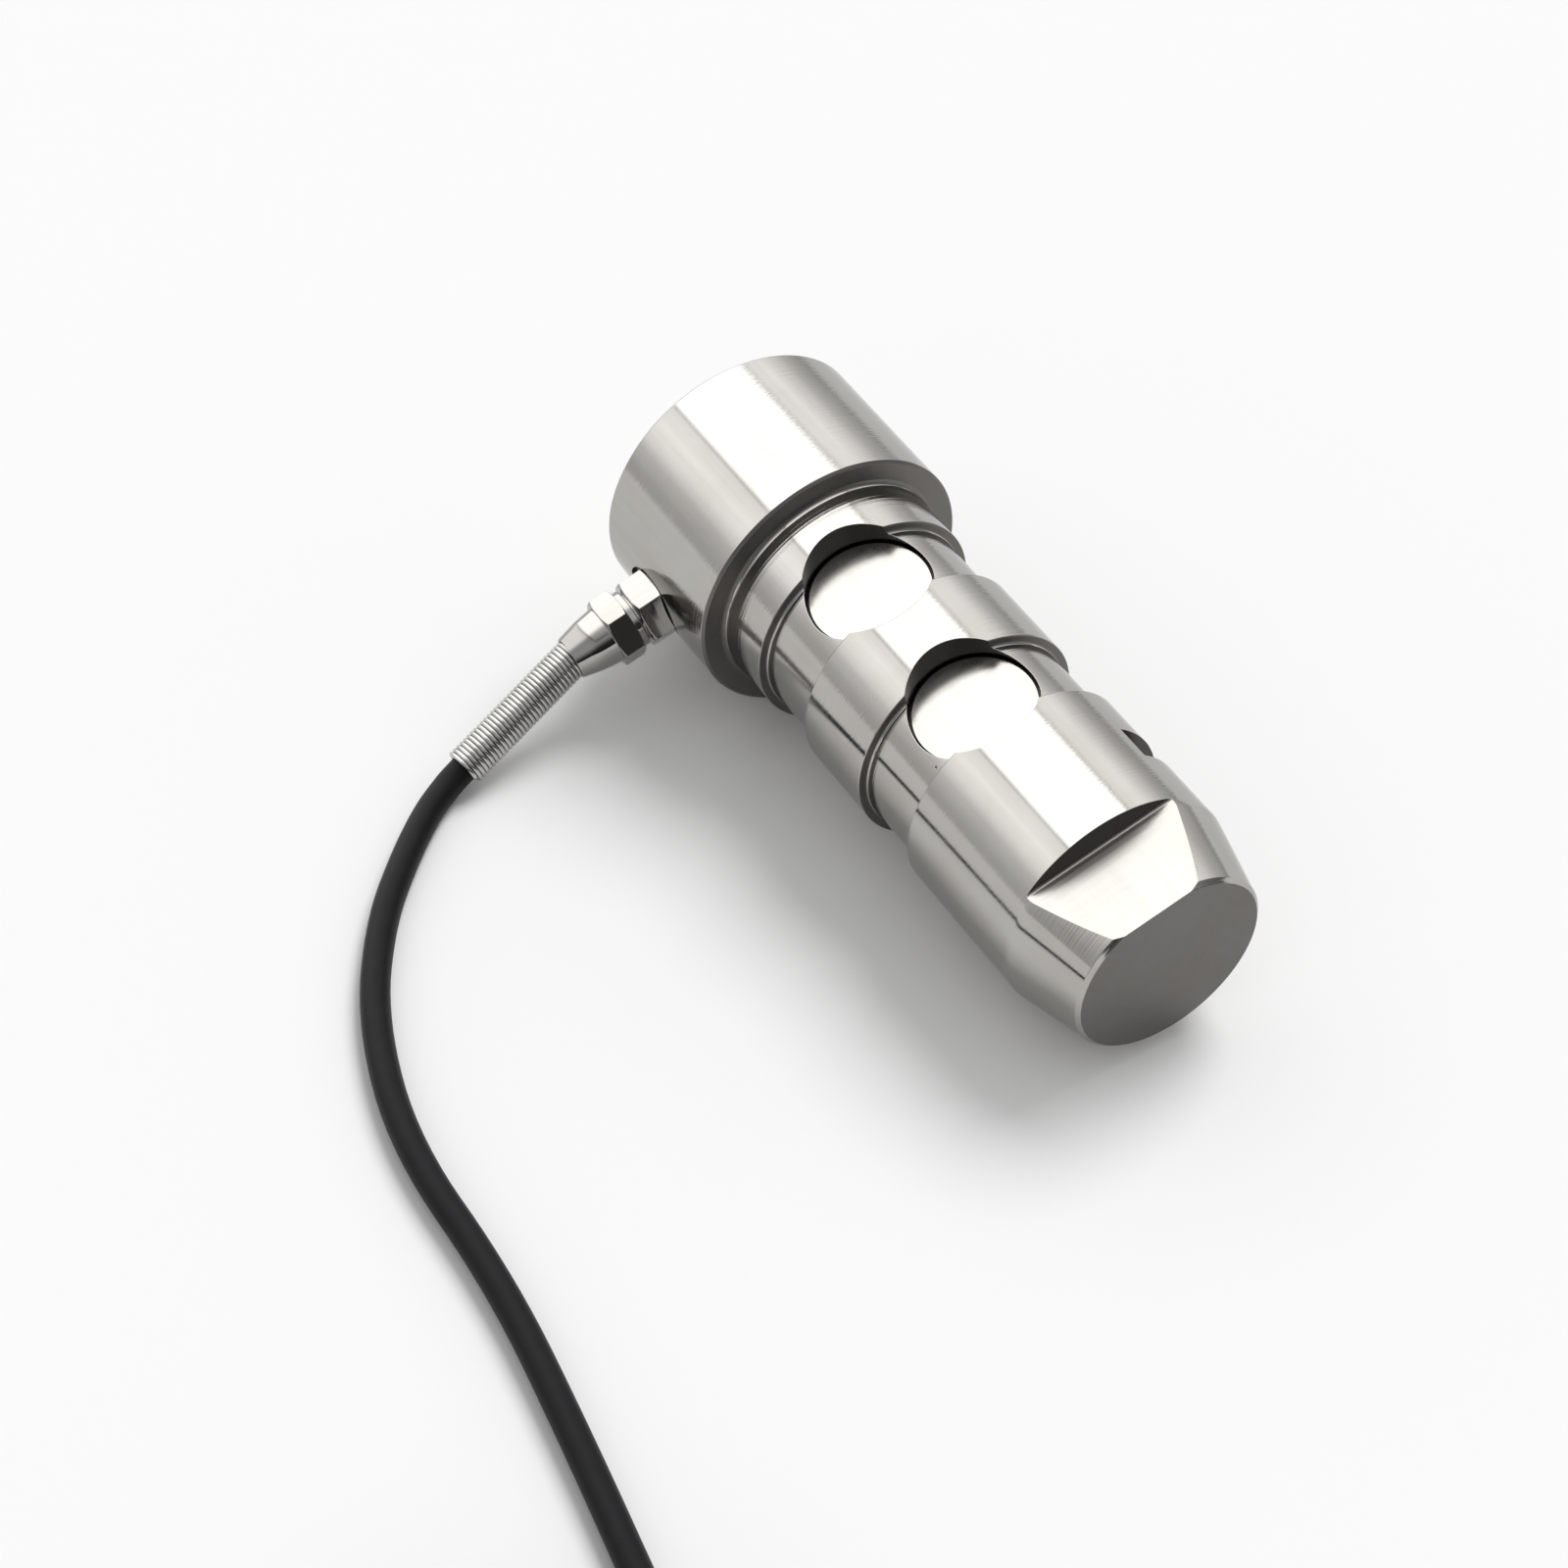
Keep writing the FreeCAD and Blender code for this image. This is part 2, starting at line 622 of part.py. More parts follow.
def spring_sleeve(turns):
    """Close-wound spring as a sleeve with one rib per turn, on the z axis."""
    valley_r = SPRING_R - SPRING_WIRE * SPRING_VALLEY
    wires = []
    for turn in range(turns):
        wires.append(polygon_wire(SPRING_SIDES, valley_r, turn * SPRING_WIRE, 0))
        wires.append(polygon_wire(SPRING_SIDES, SPRING_R, (turn + 0.5) * SPRING_WIRE, 0))
    wires.append(polygon_wire(SPRING_SIDES, valley_r, turns * SPRING_WIRE, 0))
    ribs = Part.makeLoft(wires, True, True)
    return ribs.cut(cylinder(SPRING_INNER_R, V(0, 0, 0), V(0, 0, turns * SPRING_WIRE)))


def bend_spring():
    """Bend spring: a straight foot held in the cap, and the free turns leaning out of it."""
    _end, _lying, in_gland = spring_direction()
    foot_outer_r = SPRING_R - SPRING_WIRE * SPRING_VALLEY - SPRING_GAP
    foot_inner_r = SPRING_INNER_R / in_gland.z + SPRING_GAP / 2
    foot = ring(foot_outer_r, foot_inner_r, CLAMP_RING_END, CAP_END)
    free = spring_sleeve(SPRING_TURNS + SPRING_HIDDEN_TURNS)
    lean = FreeCAD.Rotation(Z_AXIS, in_gland)
    start = V(0, 0, CAP_END) - in_gland * (SPRING_HIDDEN_TURNS * SPRING_WIRE)
    free.Placement = FreeCAD.Placement(start, lean)
    reach = 2 * SPRING_LENGTH
    outside = Part.makeBox(2 * reach, 2 * reach, reach, V(-reach, -reach, CAP_END))
    return foot.fuse(free.common(outside))


def cable_lead():
    """Cable from the hollow of the head through the gland to the end of the spring."""
    _end, _lying, in_gland = spring_direction()
    mouth = V(0, 0, CAP_END)
    return swept([V(0, 0, LEAD_REACH), mouth, mouth + in_gland * SPRING_LENGTH],
                 [CABLE_BEND_IN_MOUTH], CABLE_R)


def lead_cores():
    """Bundle of stripped cores from the cable into the side of the terminal strip."""
    strip_side = TERMINAL_SHIFT + TERMINAL_WIDTH / 2 + CORE_GAP
    return cylinder(CORE_BUNDLE_R, V(0, 0, strip_side), V(0, 0, LEAD_REACH))


def route_radii(points):
    """Arc radius at each inner point, for arcs that take a share of the shorter run."""
    radii = []
    for before, corner, after in zip(points, points[1:], points[2:]):
        incoming = corner - before
        outgoing = after - corner
        half_turn = incoming.getAngle(outgoing) / 2
        shorter = min(incoming.Length, outgoing.Length)
        radii.append(CABLE_ARC_SHARE * shorter / math.tan(half_turn))
    return radii


def coil_point(turn_angle, radius):
    """Point on the floor layer of the coil at an angle and a radius."""
    angle = math.radians(turn_angle)
    return V(COIL_CENTRE[0] + radius * math.cos(angle),
             COIL_CENTRE[1] + radius * math.sin(angle), CABLE_R)


def coil_tail(turn_angle, direction):
    """Start and end of a straight tail that leaves the outer turn along its tangent."""
    outer_turn_r = COIL_MEAN_R + (COIL_TURNS_WIDE - 1) * CABLE_R
    start = coil_point(turn_angle, outer_turn_r)
    angle = math.radians(turn_angle)
    tangent = V(-math.sin(angle), math.cos(angle), 0) * direction
    return start, start + tangent * COIL_TAIL, tangent


def cable_tube(spring_end, spring_way):
    """Free cable on the ground, from the end of the spring to the tail of the coil."""
    _start, tail_end, tail_way = coil_tail(COIL_ENTRY_TURN, 1)
    points = [spring_end, spring_end + spring_way * CABLE_FIRST_RUN]
    points += [V(*point) for point in CABLE_ROUTE]
    points += [tail_end + tail_way * CABLE_LAST_RUN, tail_end]
    print("cable points", [(round(p.x, 2), round(p.y, 2), round(p.z, 2)) for p in points])
    radii = route_radii(points)
    print("cable radii", [round(radius, 1) for radius in radii])
    path = straight_and_arcs(points, radii)
    tube = swept(points, radii, CABLE_R)
    section = math.pi * CABLE_R ** 2
    print("cable length", round(path.Length, 1), "volume", round(tube.Volume, 1),
          "section by length", round(section * path.Length, 1))
    return tube


def cable_coil():
    """Outer shape of the coiled length, with the two straight tails that leave it."""
    half_width = COIL_TURNS_WIDE * CABLE_R
    inner_r = COIL_MEAN_R - half_width
    outer_r = COIL_MEAN_R + half_width
    height = COIL_TURNS_HIGH * 2 * CABLE_R
    bevel = CABLE_R * COIL_BEVEL
    outline = [
        (bevel, inner_r),
        (0, inner_r + bevel),
        (0, outer_r - bevel),
        (bevel, outer_r),
        (height - bevel, outer_r),
        (height, outer_r - bevel),
        (height, inner_r + bevel),
        (height - bevel, inner_r),
    ]
    coil = turned(outline, Z_AXIS)
    coil.translate(V(COIL_CENTRE[0], COIL_CENTRE[1], 0))
    tails = []
    for turn_angle, direction in ((COIL_ENTRY_TURN, 1), (COIL_EXIT_TURN, -1)):
        start, end, tangent = coil_tail(turn_angle, direction)
        tails.append(cylinder(CABLE_R, start - tangent * CABLE_R, end))
    return coil.fuse(tails)


def cable_end():
    """Shrink sleeve on the far end of the cable, and the cores and screen tail it holds."""
    _start, end, tangent = coil_tail(COIL_EXIT_TURN, -1)
    centre = V(end.x, end.y, END_SLEEVE_R)
    sleeve_end = centre + tangent * END_SLEEVE_LENGTH
    pieces = {"end_sleeve": cylinder(END_SLEEVE_R, centre, sleeve_end)}
    names = ["core_red", "core_black", "core_green", "core_white", "screen_tail"]
    side = tangent.cross(Z_AXIS)
    for number, name in enumerate(names):
        angle = math.radians(END_CORE_TURN + 360 / len(names) * number)
        offset = (side * math.cos(angle) + Z_AXIS * math.sin(angle)) * END_CORE_CIRCLE_R
        fan = math.radians(END_CORE_SPREAD) * math.cos(angle)
        way = tangent * math.cos(fan) + side * math.sin(fan)
        start = sleeve_end + offset + tangent * (END_CORE_R * math.sin(abs(fan)))
        pieces[name] = cylinder(END_CORE_R, start, start + way * END_CORE_LENGTH)
    return pieces


def pin_pieces():
    """All pieces that the pin holds, in the frame of the pin."""
    pieces = {"pin_body": pin_body()}
    for number, centre_x in enumerate(POCKET_CENTRES, 1):
        for side, turn in (("upper", 0), ("lower", 180)):
            pieces["disc_%s_%d" % (side, number)] = around_x(sealing_disc(centre_x), turn)
            pieces["gauge_%s_%d" % (side, number)] = around_x(gauge(centre_x), turn)
    pieces["harness_upper"] = harness()
    pieces["harness_lower"] = around_x(harness(), 180)
    pieces["end_cover"] = end_cover()
    pieces["cover_o_ring"] = cover_o_ring()
    pieces["cover_screws"] = cover_screws()
    pieces["bridge_board"] = bridge_board()
    pieces["board_spacers"] = board_spacers()
    pieces["board_screws"] = board_screws()
    pieces["terminal_block"] = terminal_block()
    pieces["trim_resistors"] = trim_resistors()
    pieces["gland_body"] = on_gland_axis(gland_body())
    pieces["gland_o_ring"] = on_gland_axis(gland_o_ring())
    pieces["gland_seal"] = on_gland_axis(gland_seal())
    pieces["clamp_ring"] = on_gland_axis(clamp_ring())
    pieces["cap_nut"] = on_gland_axis(cap_nut())
    pieces["bend_spring"] = on_gland_axis(bend_spring())
    pieces["cable_lead"] = on_gland_axis(cable_lead())
    pieces["lead_cores"] = on_gland_axis(lead_cores())
    return pieces


def main():
    """Lay the pin down over the origin, add the cable, and write one file for each piece."""
    placement = rest_placement()
    pieces = pin_pieces()
    lying = {}
    for name, shape in pieces.items():
        lying[name] = shape.transformed(placement.toMatrix(), copy=True)
    box = Part.makeCompound(list(lying.values())).optimalBoundingBox(False)
    shift = V(-(box.XMin + box.XMax) / 2, -(box.YMin + box.YMax) / 2, 0)
    for shape in lying.values():
        shape.translate(shift)
    spring_end, spring_way, _in_gland = spring_direction()
    spring_end = spring_end + shift
    print("shift", shift, "lowest", box.ZMin, "spring end", spring_end)
    lying["cable_tube"] = cable_tube(spring_end, spring_way)
    lying["cable_coil"] = cable_coil()
    lying.update(cable_end())
    os.makedirs("parts", exist_ok=True)
    for name, shape in lying.items():
        shape.exportStep("parts/%s.step" % name)
        print(name, len(shape.Solids), shape.isValid(), round(shape.Volume, 1))


main()
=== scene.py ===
import math

import bpy
import numpy as np
from mathutils import Matrix, Vector


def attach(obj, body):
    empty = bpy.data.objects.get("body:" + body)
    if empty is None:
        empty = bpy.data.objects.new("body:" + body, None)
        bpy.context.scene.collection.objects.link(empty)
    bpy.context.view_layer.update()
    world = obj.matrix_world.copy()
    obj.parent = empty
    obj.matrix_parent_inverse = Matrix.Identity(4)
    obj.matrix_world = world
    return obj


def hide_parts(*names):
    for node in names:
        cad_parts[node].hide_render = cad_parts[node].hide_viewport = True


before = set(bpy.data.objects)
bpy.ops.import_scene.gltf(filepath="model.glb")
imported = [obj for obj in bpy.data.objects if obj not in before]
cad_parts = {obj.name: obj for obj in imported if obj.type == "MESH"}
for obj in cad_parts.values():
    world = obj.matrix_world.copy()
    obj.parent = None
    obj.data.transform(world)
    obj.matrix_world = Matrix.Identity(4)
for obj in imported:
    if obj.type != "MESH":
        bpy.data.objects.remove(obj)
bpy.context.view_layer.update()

bl_info = {
    "name": "Shear pin load cell",
    "version": (1, 0, 0),
    "blender": (4, 5, 0),
    "location": "3D View > Sidebar > Load Pin",
    "description": "Ground steel load pin with a side gland, bend spring and coiled cable",
    "category": "Add Mesh",
}

MM = 0.001

# Where the axis of the pin meets its rear face, as the pin lies on the floor, and its roll about
# its own axis, which keeps the gland off the floor
PIN_REAR = np.array((-77.32591, 24.744476, 32.49234)) * MM
PIN_ROLL = math.radians(15.5)

# Finishes of the pin's faces, in the order of its material slots. The faced, end and cut ones
# are the ground steel painted darker: painted shade on the faces that look along the axis and in
# the recesses
GROUND, FACED_PAINTED_SHADE, END_FACED_PAINTED_SHADE, MILLED, CUT_PAINTED_SHADE = range(5)

# Hollow of the head and the seat of its cover: how deep from the rear face, and radius
HOLLOW_DEPTH, HOLLOW_R = 28 * MM, 17.5 * MM
COVER_DEPTH, COVER_R = 3 * MM, 26 * MM
# Long drillings: start, radius, mm from the axis, and how far short of a pocket's middle
DRILLING_START, DRILLING_R, DRILLING_OFF, DRILLING_SHORT = 27 * MM, 1.6 * MM, 12, 5.5 * MM
# Port of the gland: its start and radius, and the gap of its spot face round the hexagon
PORT_START, PORT_R, SPOT_GAP = 11 * MM, 6.0 * MM, 0.35 * MM
# Tapped holes in mm: radius of their circle, their own radius, and depth
TAPPED_HOLES = ((22.7, 1.5, 9.0), (11.8, 1.1, 32.5))
# The pit beside the end land: how far it reaches in and out, and its radius at both ends
PIT_REACH, PIT_FLOOR_R, PIT_MOUTH_R = 0.2 * MM, 0.22 * MM, 0.36 * MM
# How far cutters stand out of the head and of its rear face, and where the flat's one ends
OVERCUT, REAR_OVERCUT, FLAT_END = 2 * MM, 1 * MM, 0.17
# Least part of a faced surface's direction along the axis, on the shoulder and elsewhere; past
# it a face takes the darker colour of painted shade
SHOULDER_LEAN, FACED_LEAN = 0.65, 0.75

# Thread and spigot of the gland, and how far joined forms run into each other
THREAD_LENGTH, THREAD_R, SPIGOT_LENGTH, OVERLAP = 10 * MM, 5.9 * MM, 4.1 * MM, 1 * MM
# Bores of the gland, from this far under its seat, and of its cap: (distance from the pin's
# axis, radius) where each step starts, and where the last one ends
BORE_UNDER, BORE_R, SEAL_STEP, BORE_END = 12 * MM, 3.1 * MM, (35.3 * MM, 4.9 * MM), 45 * MM
CAP_STEPS, CAP_BORE_END = ((30 * MM, 5.7 * MM), (40.911 * MM, 4.35 * MM)), 60 * MM
# Radii of the cap's dome: under its foot, at its foot, half way up and at its mouth
DOME_RADII = 6.4 * MM, 6.35 * MM, 5.75 * MM, 4.65 * MM
# Turns of the gland's and the cap's hexagon about their axis
BODY_TURN, CAP_TURN = math.radians(57.1), math.radians(62.8)


def linear(hex_colour):
    """Linear red, green, blue and opacity of an sRGB colour written as six hex digits."""
    channels = [int(hex_colour[start:start + 2], 16) / 255 for start in (0, 2, 4)]
    return tuple(c / 12.92 if c <= 0.04045 else ((c + 0.055) / 1.055) ** 2.4
                 for c in channels) + (1.0,)


def length(name, description, millimetres):
    """A size that shows as a length in the sidebar."""
    return bpy.props.FloatProperty(name=name, description=description, default=millimetres * MM,
                                   min=0.0, unit="LENGTH", subtype="DISTANCE", precision=5)


def angle(name, description, degrees):
    """An angle that shows in degrees in the sidebar."""
    return bpy.props.FloatProperty(name=name, description=description, unit="ROTATION",
                                   subtype="ANGLE", default=math.radians(degrees))


def colour(name, description, hex_colour):
    """A colour that shows as a colour field in the sidebar."""
    return bpy.props.FloatVectorProperty(name=name, description=description, size=4, min=0.0,
                                         max=1.0, subtype="COLOR", default=linear(hex_colour))


class LoadPinSizes(bpy.types.PropertyGroup):
    """Sizes and finishes of the one-piece steel pin and its sealing discs."""

    head_r: length("Head radius", "Radius of the round head", 30.5)
    head_length: length("Head length", "Rear face to the shoulder", 38.0)
    head_chamfer: length("Rear chamfer", "Chamfer round the rear of the head", 1.0)
    shoulder_chamfer: length("Shoulder chamfer", "Chamfer round the front of the head", 0.6)
    shaft_r: length("Shaft radius", "Radius of the ground lands", 25.0)
    groove_r: length("Groove radius", "Radius of the shear grooves", 23.0)
    neck_end: length("Neck end", "Rear face to the first groove", 50.8)
    groove_width: length("Groove width", "Width of each shear groove", 17.0)
    middle_land: length("Middle land", "Width between the grooves", 19.6)
    end_land: length("End land", "Width before the taper", 33.8)
    taper: length("Taper length", "Length of the tapered tip", 17.2)
    tip_r: length("Tip radius", "Radius of the taper at the tip", 20.8)
    tip_chamfer: length("Tip chamfer", "Chamfer round the tip", 0.9)
    edge_round: length("Edge rounding", "Rounding of the turned edges", 0.3)
    root_round: length("Root rounding", "Fillet in the grooves", 0.6)
    pocket_r: length("Pocket radius", "Radius of the gauge pockets", 13.0)
    pocket_ledge: length("Pocket ledge", "Pin's axis to the disc's ledge", 16.7)
    pocket_inner_r: length("Inner pocket radius", "Radius of a pocket under its disc", 11.0)
    web_half: length("Half web", "Half the gauged web", 6.0)
    disc_thickness: length("Disc thickness", "Thickness of a sealing disc", 1.6)
    disc_gap: length("Disc gap", "Gap round a sealing disc", 0.4)
    flat_height: length("Keeper flat height", "Pin's axis to the flat", 18.7)
    flat_overlap: length("Flat overlap", "Flat's reach into the end land", 1.5)
    flat_root: length("Flat's root radius", "Fillet at the flat's wall", 0.5)
    slot_start: length("Slot start", "Rear face to the keeper slot", 116.1)
    slot_width: length("Slot width", "Width of the keeper slot", 7.8)
    slot_floor: length("Slot floor", "Pin's axis to the slot's floor", 19.4)
    pit_along: length("Pit place", "Rear face to the small pit", 102.1)
    pit_angle: angle("Pit angle", "Round from the top", 35.4)
    ground: colour("Ground steel", "Colour of the ground lands", "B1AFAB")
    # painted shade: these three colours are the ground steel made darker, standing in for the
    # dim reflections of faces that look along the axis and of the recesses
    faced: colour("Faced steel, painted shade", "Colour of the shoulders and of the walls", "767471")
    end_face: colour("End face, painted shade", "Colour of the two end faces", "6E6C69")
    cut: colour("Cut steel, painted shade", "Colour of the pockets, the flat's wall and the slot", "4E4C4A")


class GlandSizes(bpy.types.PropertyGroup):
    """Sizes and finish of the cable gland, its cap and the bend spring."""

    along: length("Place", "Rear face to the gland's axis", 17.2)
    lean: angle("Lean", "Lean of the gland off the pin's side", 1.4)
    across_flats: length("Across flats", "Width of both hexagons across their flats", 14.0)
    seat: length("Seat", "Pin's axis to the gland's seat", 29.311)
    body_height: length("Hexagon height", "Height of the lower hexagon", 6.1)
    spigot_r: length("Spigot radius", "Radius of the thread under the cap", 5.6)
    cap_start: length("Cap start", "Pin's axis to the cap", 35.911)
    collar_r: length("Collar radius", "Radius of the cap's collar", 6.4)
    collar_height: length("Collar height", "Height of the cap's collar", 1.5)
    cap_hex_height: length("Cap hexagon height", "Height of the cap's hexagon", 5.1)
    dome_height: length("Dome height", "Height of the dome", 8.9)
    spring_r: length("Spring radius", "Outside radius of the bend spring", 4.25)
    wire: length("Wire", "Thickness of the spring wire", 1.0)
    turns: bpy.props.IntProperty(name="Turns", description="Free turns of the spring",
                                 default=32, min=3, max=80)
    heading: angle("Heading", "Heading of the lying spring", 11.3)
    end_height: length("End height", "Spring's end over the floor", 5.0)
    plating: colour("Plating", "Colour of the nickel plate", "A8A6A3")
    spring_steel: colour("Spring wire", "Colour of the spring wire", "BAB9B6")


class CableSizes(bpy.types.PropertyGroup):
    """Size, length and colour of the cable."""

    radius: length("Cable radius", "Radius of the jacket", 3.0)
    coil_r: length("Coil radius", "Radius of the middle turns", 33.0)
    free_length: bpy.props.FloatProperty(name="Free length", default=2.45, unit="LENGTH",
                                         description="Length from the spring to the sleeve")
    jacket: colour("Jacket", "Colour of the cable's jacket", "161618")


class StageLooks(bpy.types.PropertyGroup):
    """Colour of the floor and level of the studio light."""

    floor: colour("Floor", "Colour of the floor", "FAFAFA")
    level: bpy.props.FloatProperty(name="Light", default=1.0, min=0.0, soft_max=3.0,
                                   description="Level of the whole studio light")


# Places and axes

def pin_axes(pin):
    """Columns are the pin's own x, y and z as it lies: rolled, then tipped onto its end land."""
    contact = pin.head_length - pin.shoulder_chamfer
    tip_down = math.atan2(pin.head_r - pin.shaft_r, end_land_end(pin) - contact)
    return np.array(Matrix.Rotation(tip_down, 3, "Y") @ Matrix.Rotation(PIN_ROLL, 3, "X"))


def groove_starts(pin):
    """Rear face to the start of each shear groove."""
    return pin.neck_end, pin.neck_end + pin.groove_width + pin.middle_land


def pocket_centres(pin):
    """Rear face to the middle of each pair of pockets."""
    return [start + pin.groove_width / 2 for start in groove_starts(pin)]


def end_land_end(pin):
    """Rear face to the start of the taper."""
    return pin.neck_end + 2 * pin.groove_width + pin.middle_land + pin.end_land


def pocket_axes(axes, side):
    """Columns are the way out of the upper (1) or lower (-1) pockets, and two ways across it."""
    return np.column_stack((axes[:, 2] * side, axes[:, 0] * side, axes[:, 1]))


def gland_axes(pin, gland):
    """Columns are the gland's axis, the pin's axis and the side between them."""
    axes = pin_axes(pin)
    along = axes @ np.array((0, -math.cos(gland.lean), -math.sin(gland.lean)))
    return np.column_stack((along, axes[:, 0], np.cross(along, axes[:, 0])))


def gland_root(pin, gland):
    """Where the gland's axis crosses the axis of the pin."""
    return PIN_REAR + pin_axes(pin)[:, 0] * gland.along


# Meshes

def outline_runs(corners, steps=5):
    """Runs of a turned outline from corners (along, radius, rounding): its points, and the
    outward direction at the two ends of each run. A rounded corner becomes an arc whose
    directions turn evenly from one straight to the next."""
    flat = np.array([corner[:2] for corner in corners], float)
    way = np.diff(flat, axis=0)
    way /= np.linalg.norm(way, axis=1)[:, None]
    out = np.column_stack((-way[:, 1], way[:, 0]))
    points, starts, ends = [flat[0]], [], []
    for number in range(1, len(flat) - 1):
        before, after = out[number - 1], out[number]
        rounding = corners[number][2] if len(corners[number]) > 2 else 0
        turn = math.atan2(before[0] * after[1] - before[1] * after[0], before @ after)
        starts.append(before)
        ends.append(before)
        if rounding <= 0 or abs(turn) < 1e-6:
            points.append(flat[number])
            continue
        bulge = -math.copysign(rounding, turn)
        first = flat[number] - way[number - 1] * rounding * math.tan(abs(turn) / 2)
        centre = first - before * bulge
        angles = turn * np.arange(steps + 1) / steps
        spin = np.column_stack((before[0] * np.cos(angles) - before[1] * np.sin(angles),
                                before[0] * np.sin(angles) + before[1] * np.cos(angles)))
        points.extend(centre + spin * bulge)
        starts.extend(spin[:-1])
        ends.extend(spin[1:])
    starts.append(out[-1])
    ends.append(out[-1])
    points.append(flat[-1])
    return np.array(points), np.array(starts), np.array(ends)


def put_mesh(name, vertices, faces, ways, finish):
    """Object with the given mesh, its outward direction at each corner, and its finish."""
    mesh = bpy.data.meshes.new(name)
    mesh.from_pydata(vertices.tolist(), [], faces)
    way = mesh.attributes.new("way", "FLOAT_VECTOR", "CORNER")
    way.data.foreach_set("vector", np.asarray(ways, np.float32).ravel())
    kind = mesh.attributes.new("finish", "INT", "FACE")
    kind.data.foreach_set("value", np.broadcast_to(finish, len(mesh.polygons)).astype(np.int32))
    piece = bpy.data.objects.new(name, mesh)
    bpy.context.scene.collection.objects.link(piece)
    return piece


def turned(name, corners, origin, axes, sides=128, inward=False, finish=GROUND):
    """Surface of revolution: point = origin + along * axis + radius * (cos a, sin a) across it,
    for each outline point and each of the angles a. Every outline starts and ends on the axis,
    and closes there. Inward is for cutters."""
    points, starts, ends = outline_runs(corners)
    turn = 2 * math.pi * np.arange(sides) / sides
    around = np.cos(turn)[:, None] * axes[:, 1] + np.sin(turn)[:, None] * axes[:, 2]
    grid = (origin + points[:, 0, None, None] * axes[:, 0]
            + points[:, 1, None, None] * around[None])
    rings = len(points)
    index = np.arange(rings * sides).reshape(rings, sides)
    index[[0, -1]] = index[[0, -1], :1]
    low, high = index[:-1], index[1:]
    quads = np.stack((low, np.roll(low, -1, 1), np.roll(high, -1, 1), high), 2).reshape(-1, 4)
    across = np.roll(around, -1, 0)
    ways = np.stack([way[:, 0, None, None] * axes[:, 0] + way[:, 1, None, None] * circle[None]
                     for way, circle in ((starts, around), (starts, across), (ends, across),
                                         (ends, around))], 2).reshape(-1, 4, 3)
    # a corner that meets its neighbour at a pole is dropped, so caps are triangles
    keep = quads != np.roll(quads, -1, 1)
    used = np.unique(quads)
    renumber = np.zeros(rings * sides, int)
    renumber[used] = np.arange(len(used))
    faces = [renumber[quad[held]].tolist() for quad, held in zip(quads, keep)]
    sign = -1 if inward else 1
    return put_mesh(name, grid.reshape(-1, 3)[used], faces, ways[keep] * sign, finish)


def bored(name, steps, end, origin, axes, sides, finish=GROUND):
    """Cutter of a stepped bore, from (along, radius) where each step starts and the place where
    the last one ends. Its outline goes square from radius to radius and closes on the axis."""
    starts = [step[0] for step in steps] + [end]
    corners = [(starts[0], 0)]
    for number, (start, radius) in enumerate(steps):
        corners += [(start, radius), (starts[number + 1], radius)]
    return turned(name, corners + [(end, 0)], origin, axes, sides, True, finish)


def prism(name, outline, start, end, origin, axes, inward=False, finish=GROUND, ends=GROUND):
    """Straight bar: a polygon (u, v) across the axis, carried from start to end along it. Its
    sides share one finish or have one each, and so do its two ends."""
    count = len(outline)
    across = outline[:, 0, None] * axes[:, 1] + outline[:, 1, None] * axes[:, 2]
    vertices = np.concatenate((origin + start * axes[:, 0] + across,
                               origin + end * axes[:, 0] + across))
    ring = np.arange(count)
    sides = np.stack((ring, (ring + 1) % count, (ring + 1) % count + count, ring + count), 1)
    edges = np.roll(outline, -1, 0) - outline
    out = edges[:, 1, None] * axes[:, 1] - edges[:, 0, None] * axes[:, 2]
    out /= np.linalg.norm(out, axis=1)[:, None]
    ways = np.concatenate((np.repeat(out, 4, 0), np.tile(-axes[:, 0], (count, 1)),
                           np.tile(axes[:, 0], (count, 1))))
    faces = sides.tolist() + [ring[::-1].tolist(), (ring + count).tolist()]
    finishes = np.append(np.broadcast_to(finish, count), (ends, ends))
    return put_mesh(name, vertices, faces, ways * (-1 if inward else 1), finishes)


def combine(piece, others, operation):
    """The piece with the others cut from it, joined to it or kept in common with it."""
    for other in others:
        step = piece.modifiers.new("step", "BOOLEAN")
        step.object = other
        step.operation = operation
        step.solver = "EXACT"
    held = piece.evaluated_get(bpy.context.evaluated_depsgraph_get())
    mesh = bpy.data.meshes.new_from_object(held)
    piece.modifiers.clear()
    piece.data = mesh
    for other in others:
        bpy.data.objects.remove(other)


def shade(piece, materials):
    """Gives every corner its true outward direction, so turned faces are smooth and edges
    crisp, and each face the material of its finish."""
    mesh = piece.data
    mesh.materials.clear()
    for material in materials:
        mesh.materials.append(material)
    way = np.zeros(len(mesh.loops) * 3, np.float32)
    mesh.attributes["way"].data.foreach_get("vector", way)
    way = way.reshape(-1, 3)
    way /= np.linalg.norm(way, axis=1)[:, None]
    finish = np.zeros(len(mesh.polygons), np.int32)
    mesh.attributes["finish"].data.foreach_get("value", finish)
    mesh.polygons.foreach_set("material_index", np.minimum(finish, len(materials) - 1))
    mesh.polygons.foreach_set("use_smooth", np.ones(len(mesh.polygons), bool))
    mesh.normals_split_custom_set(way.tolist())
    mesh.attributes.remove(mesh.attributes["way"])
    mesh.attributes.remove(mesh.attributes["finish"])
    mesh.update()


# Materials

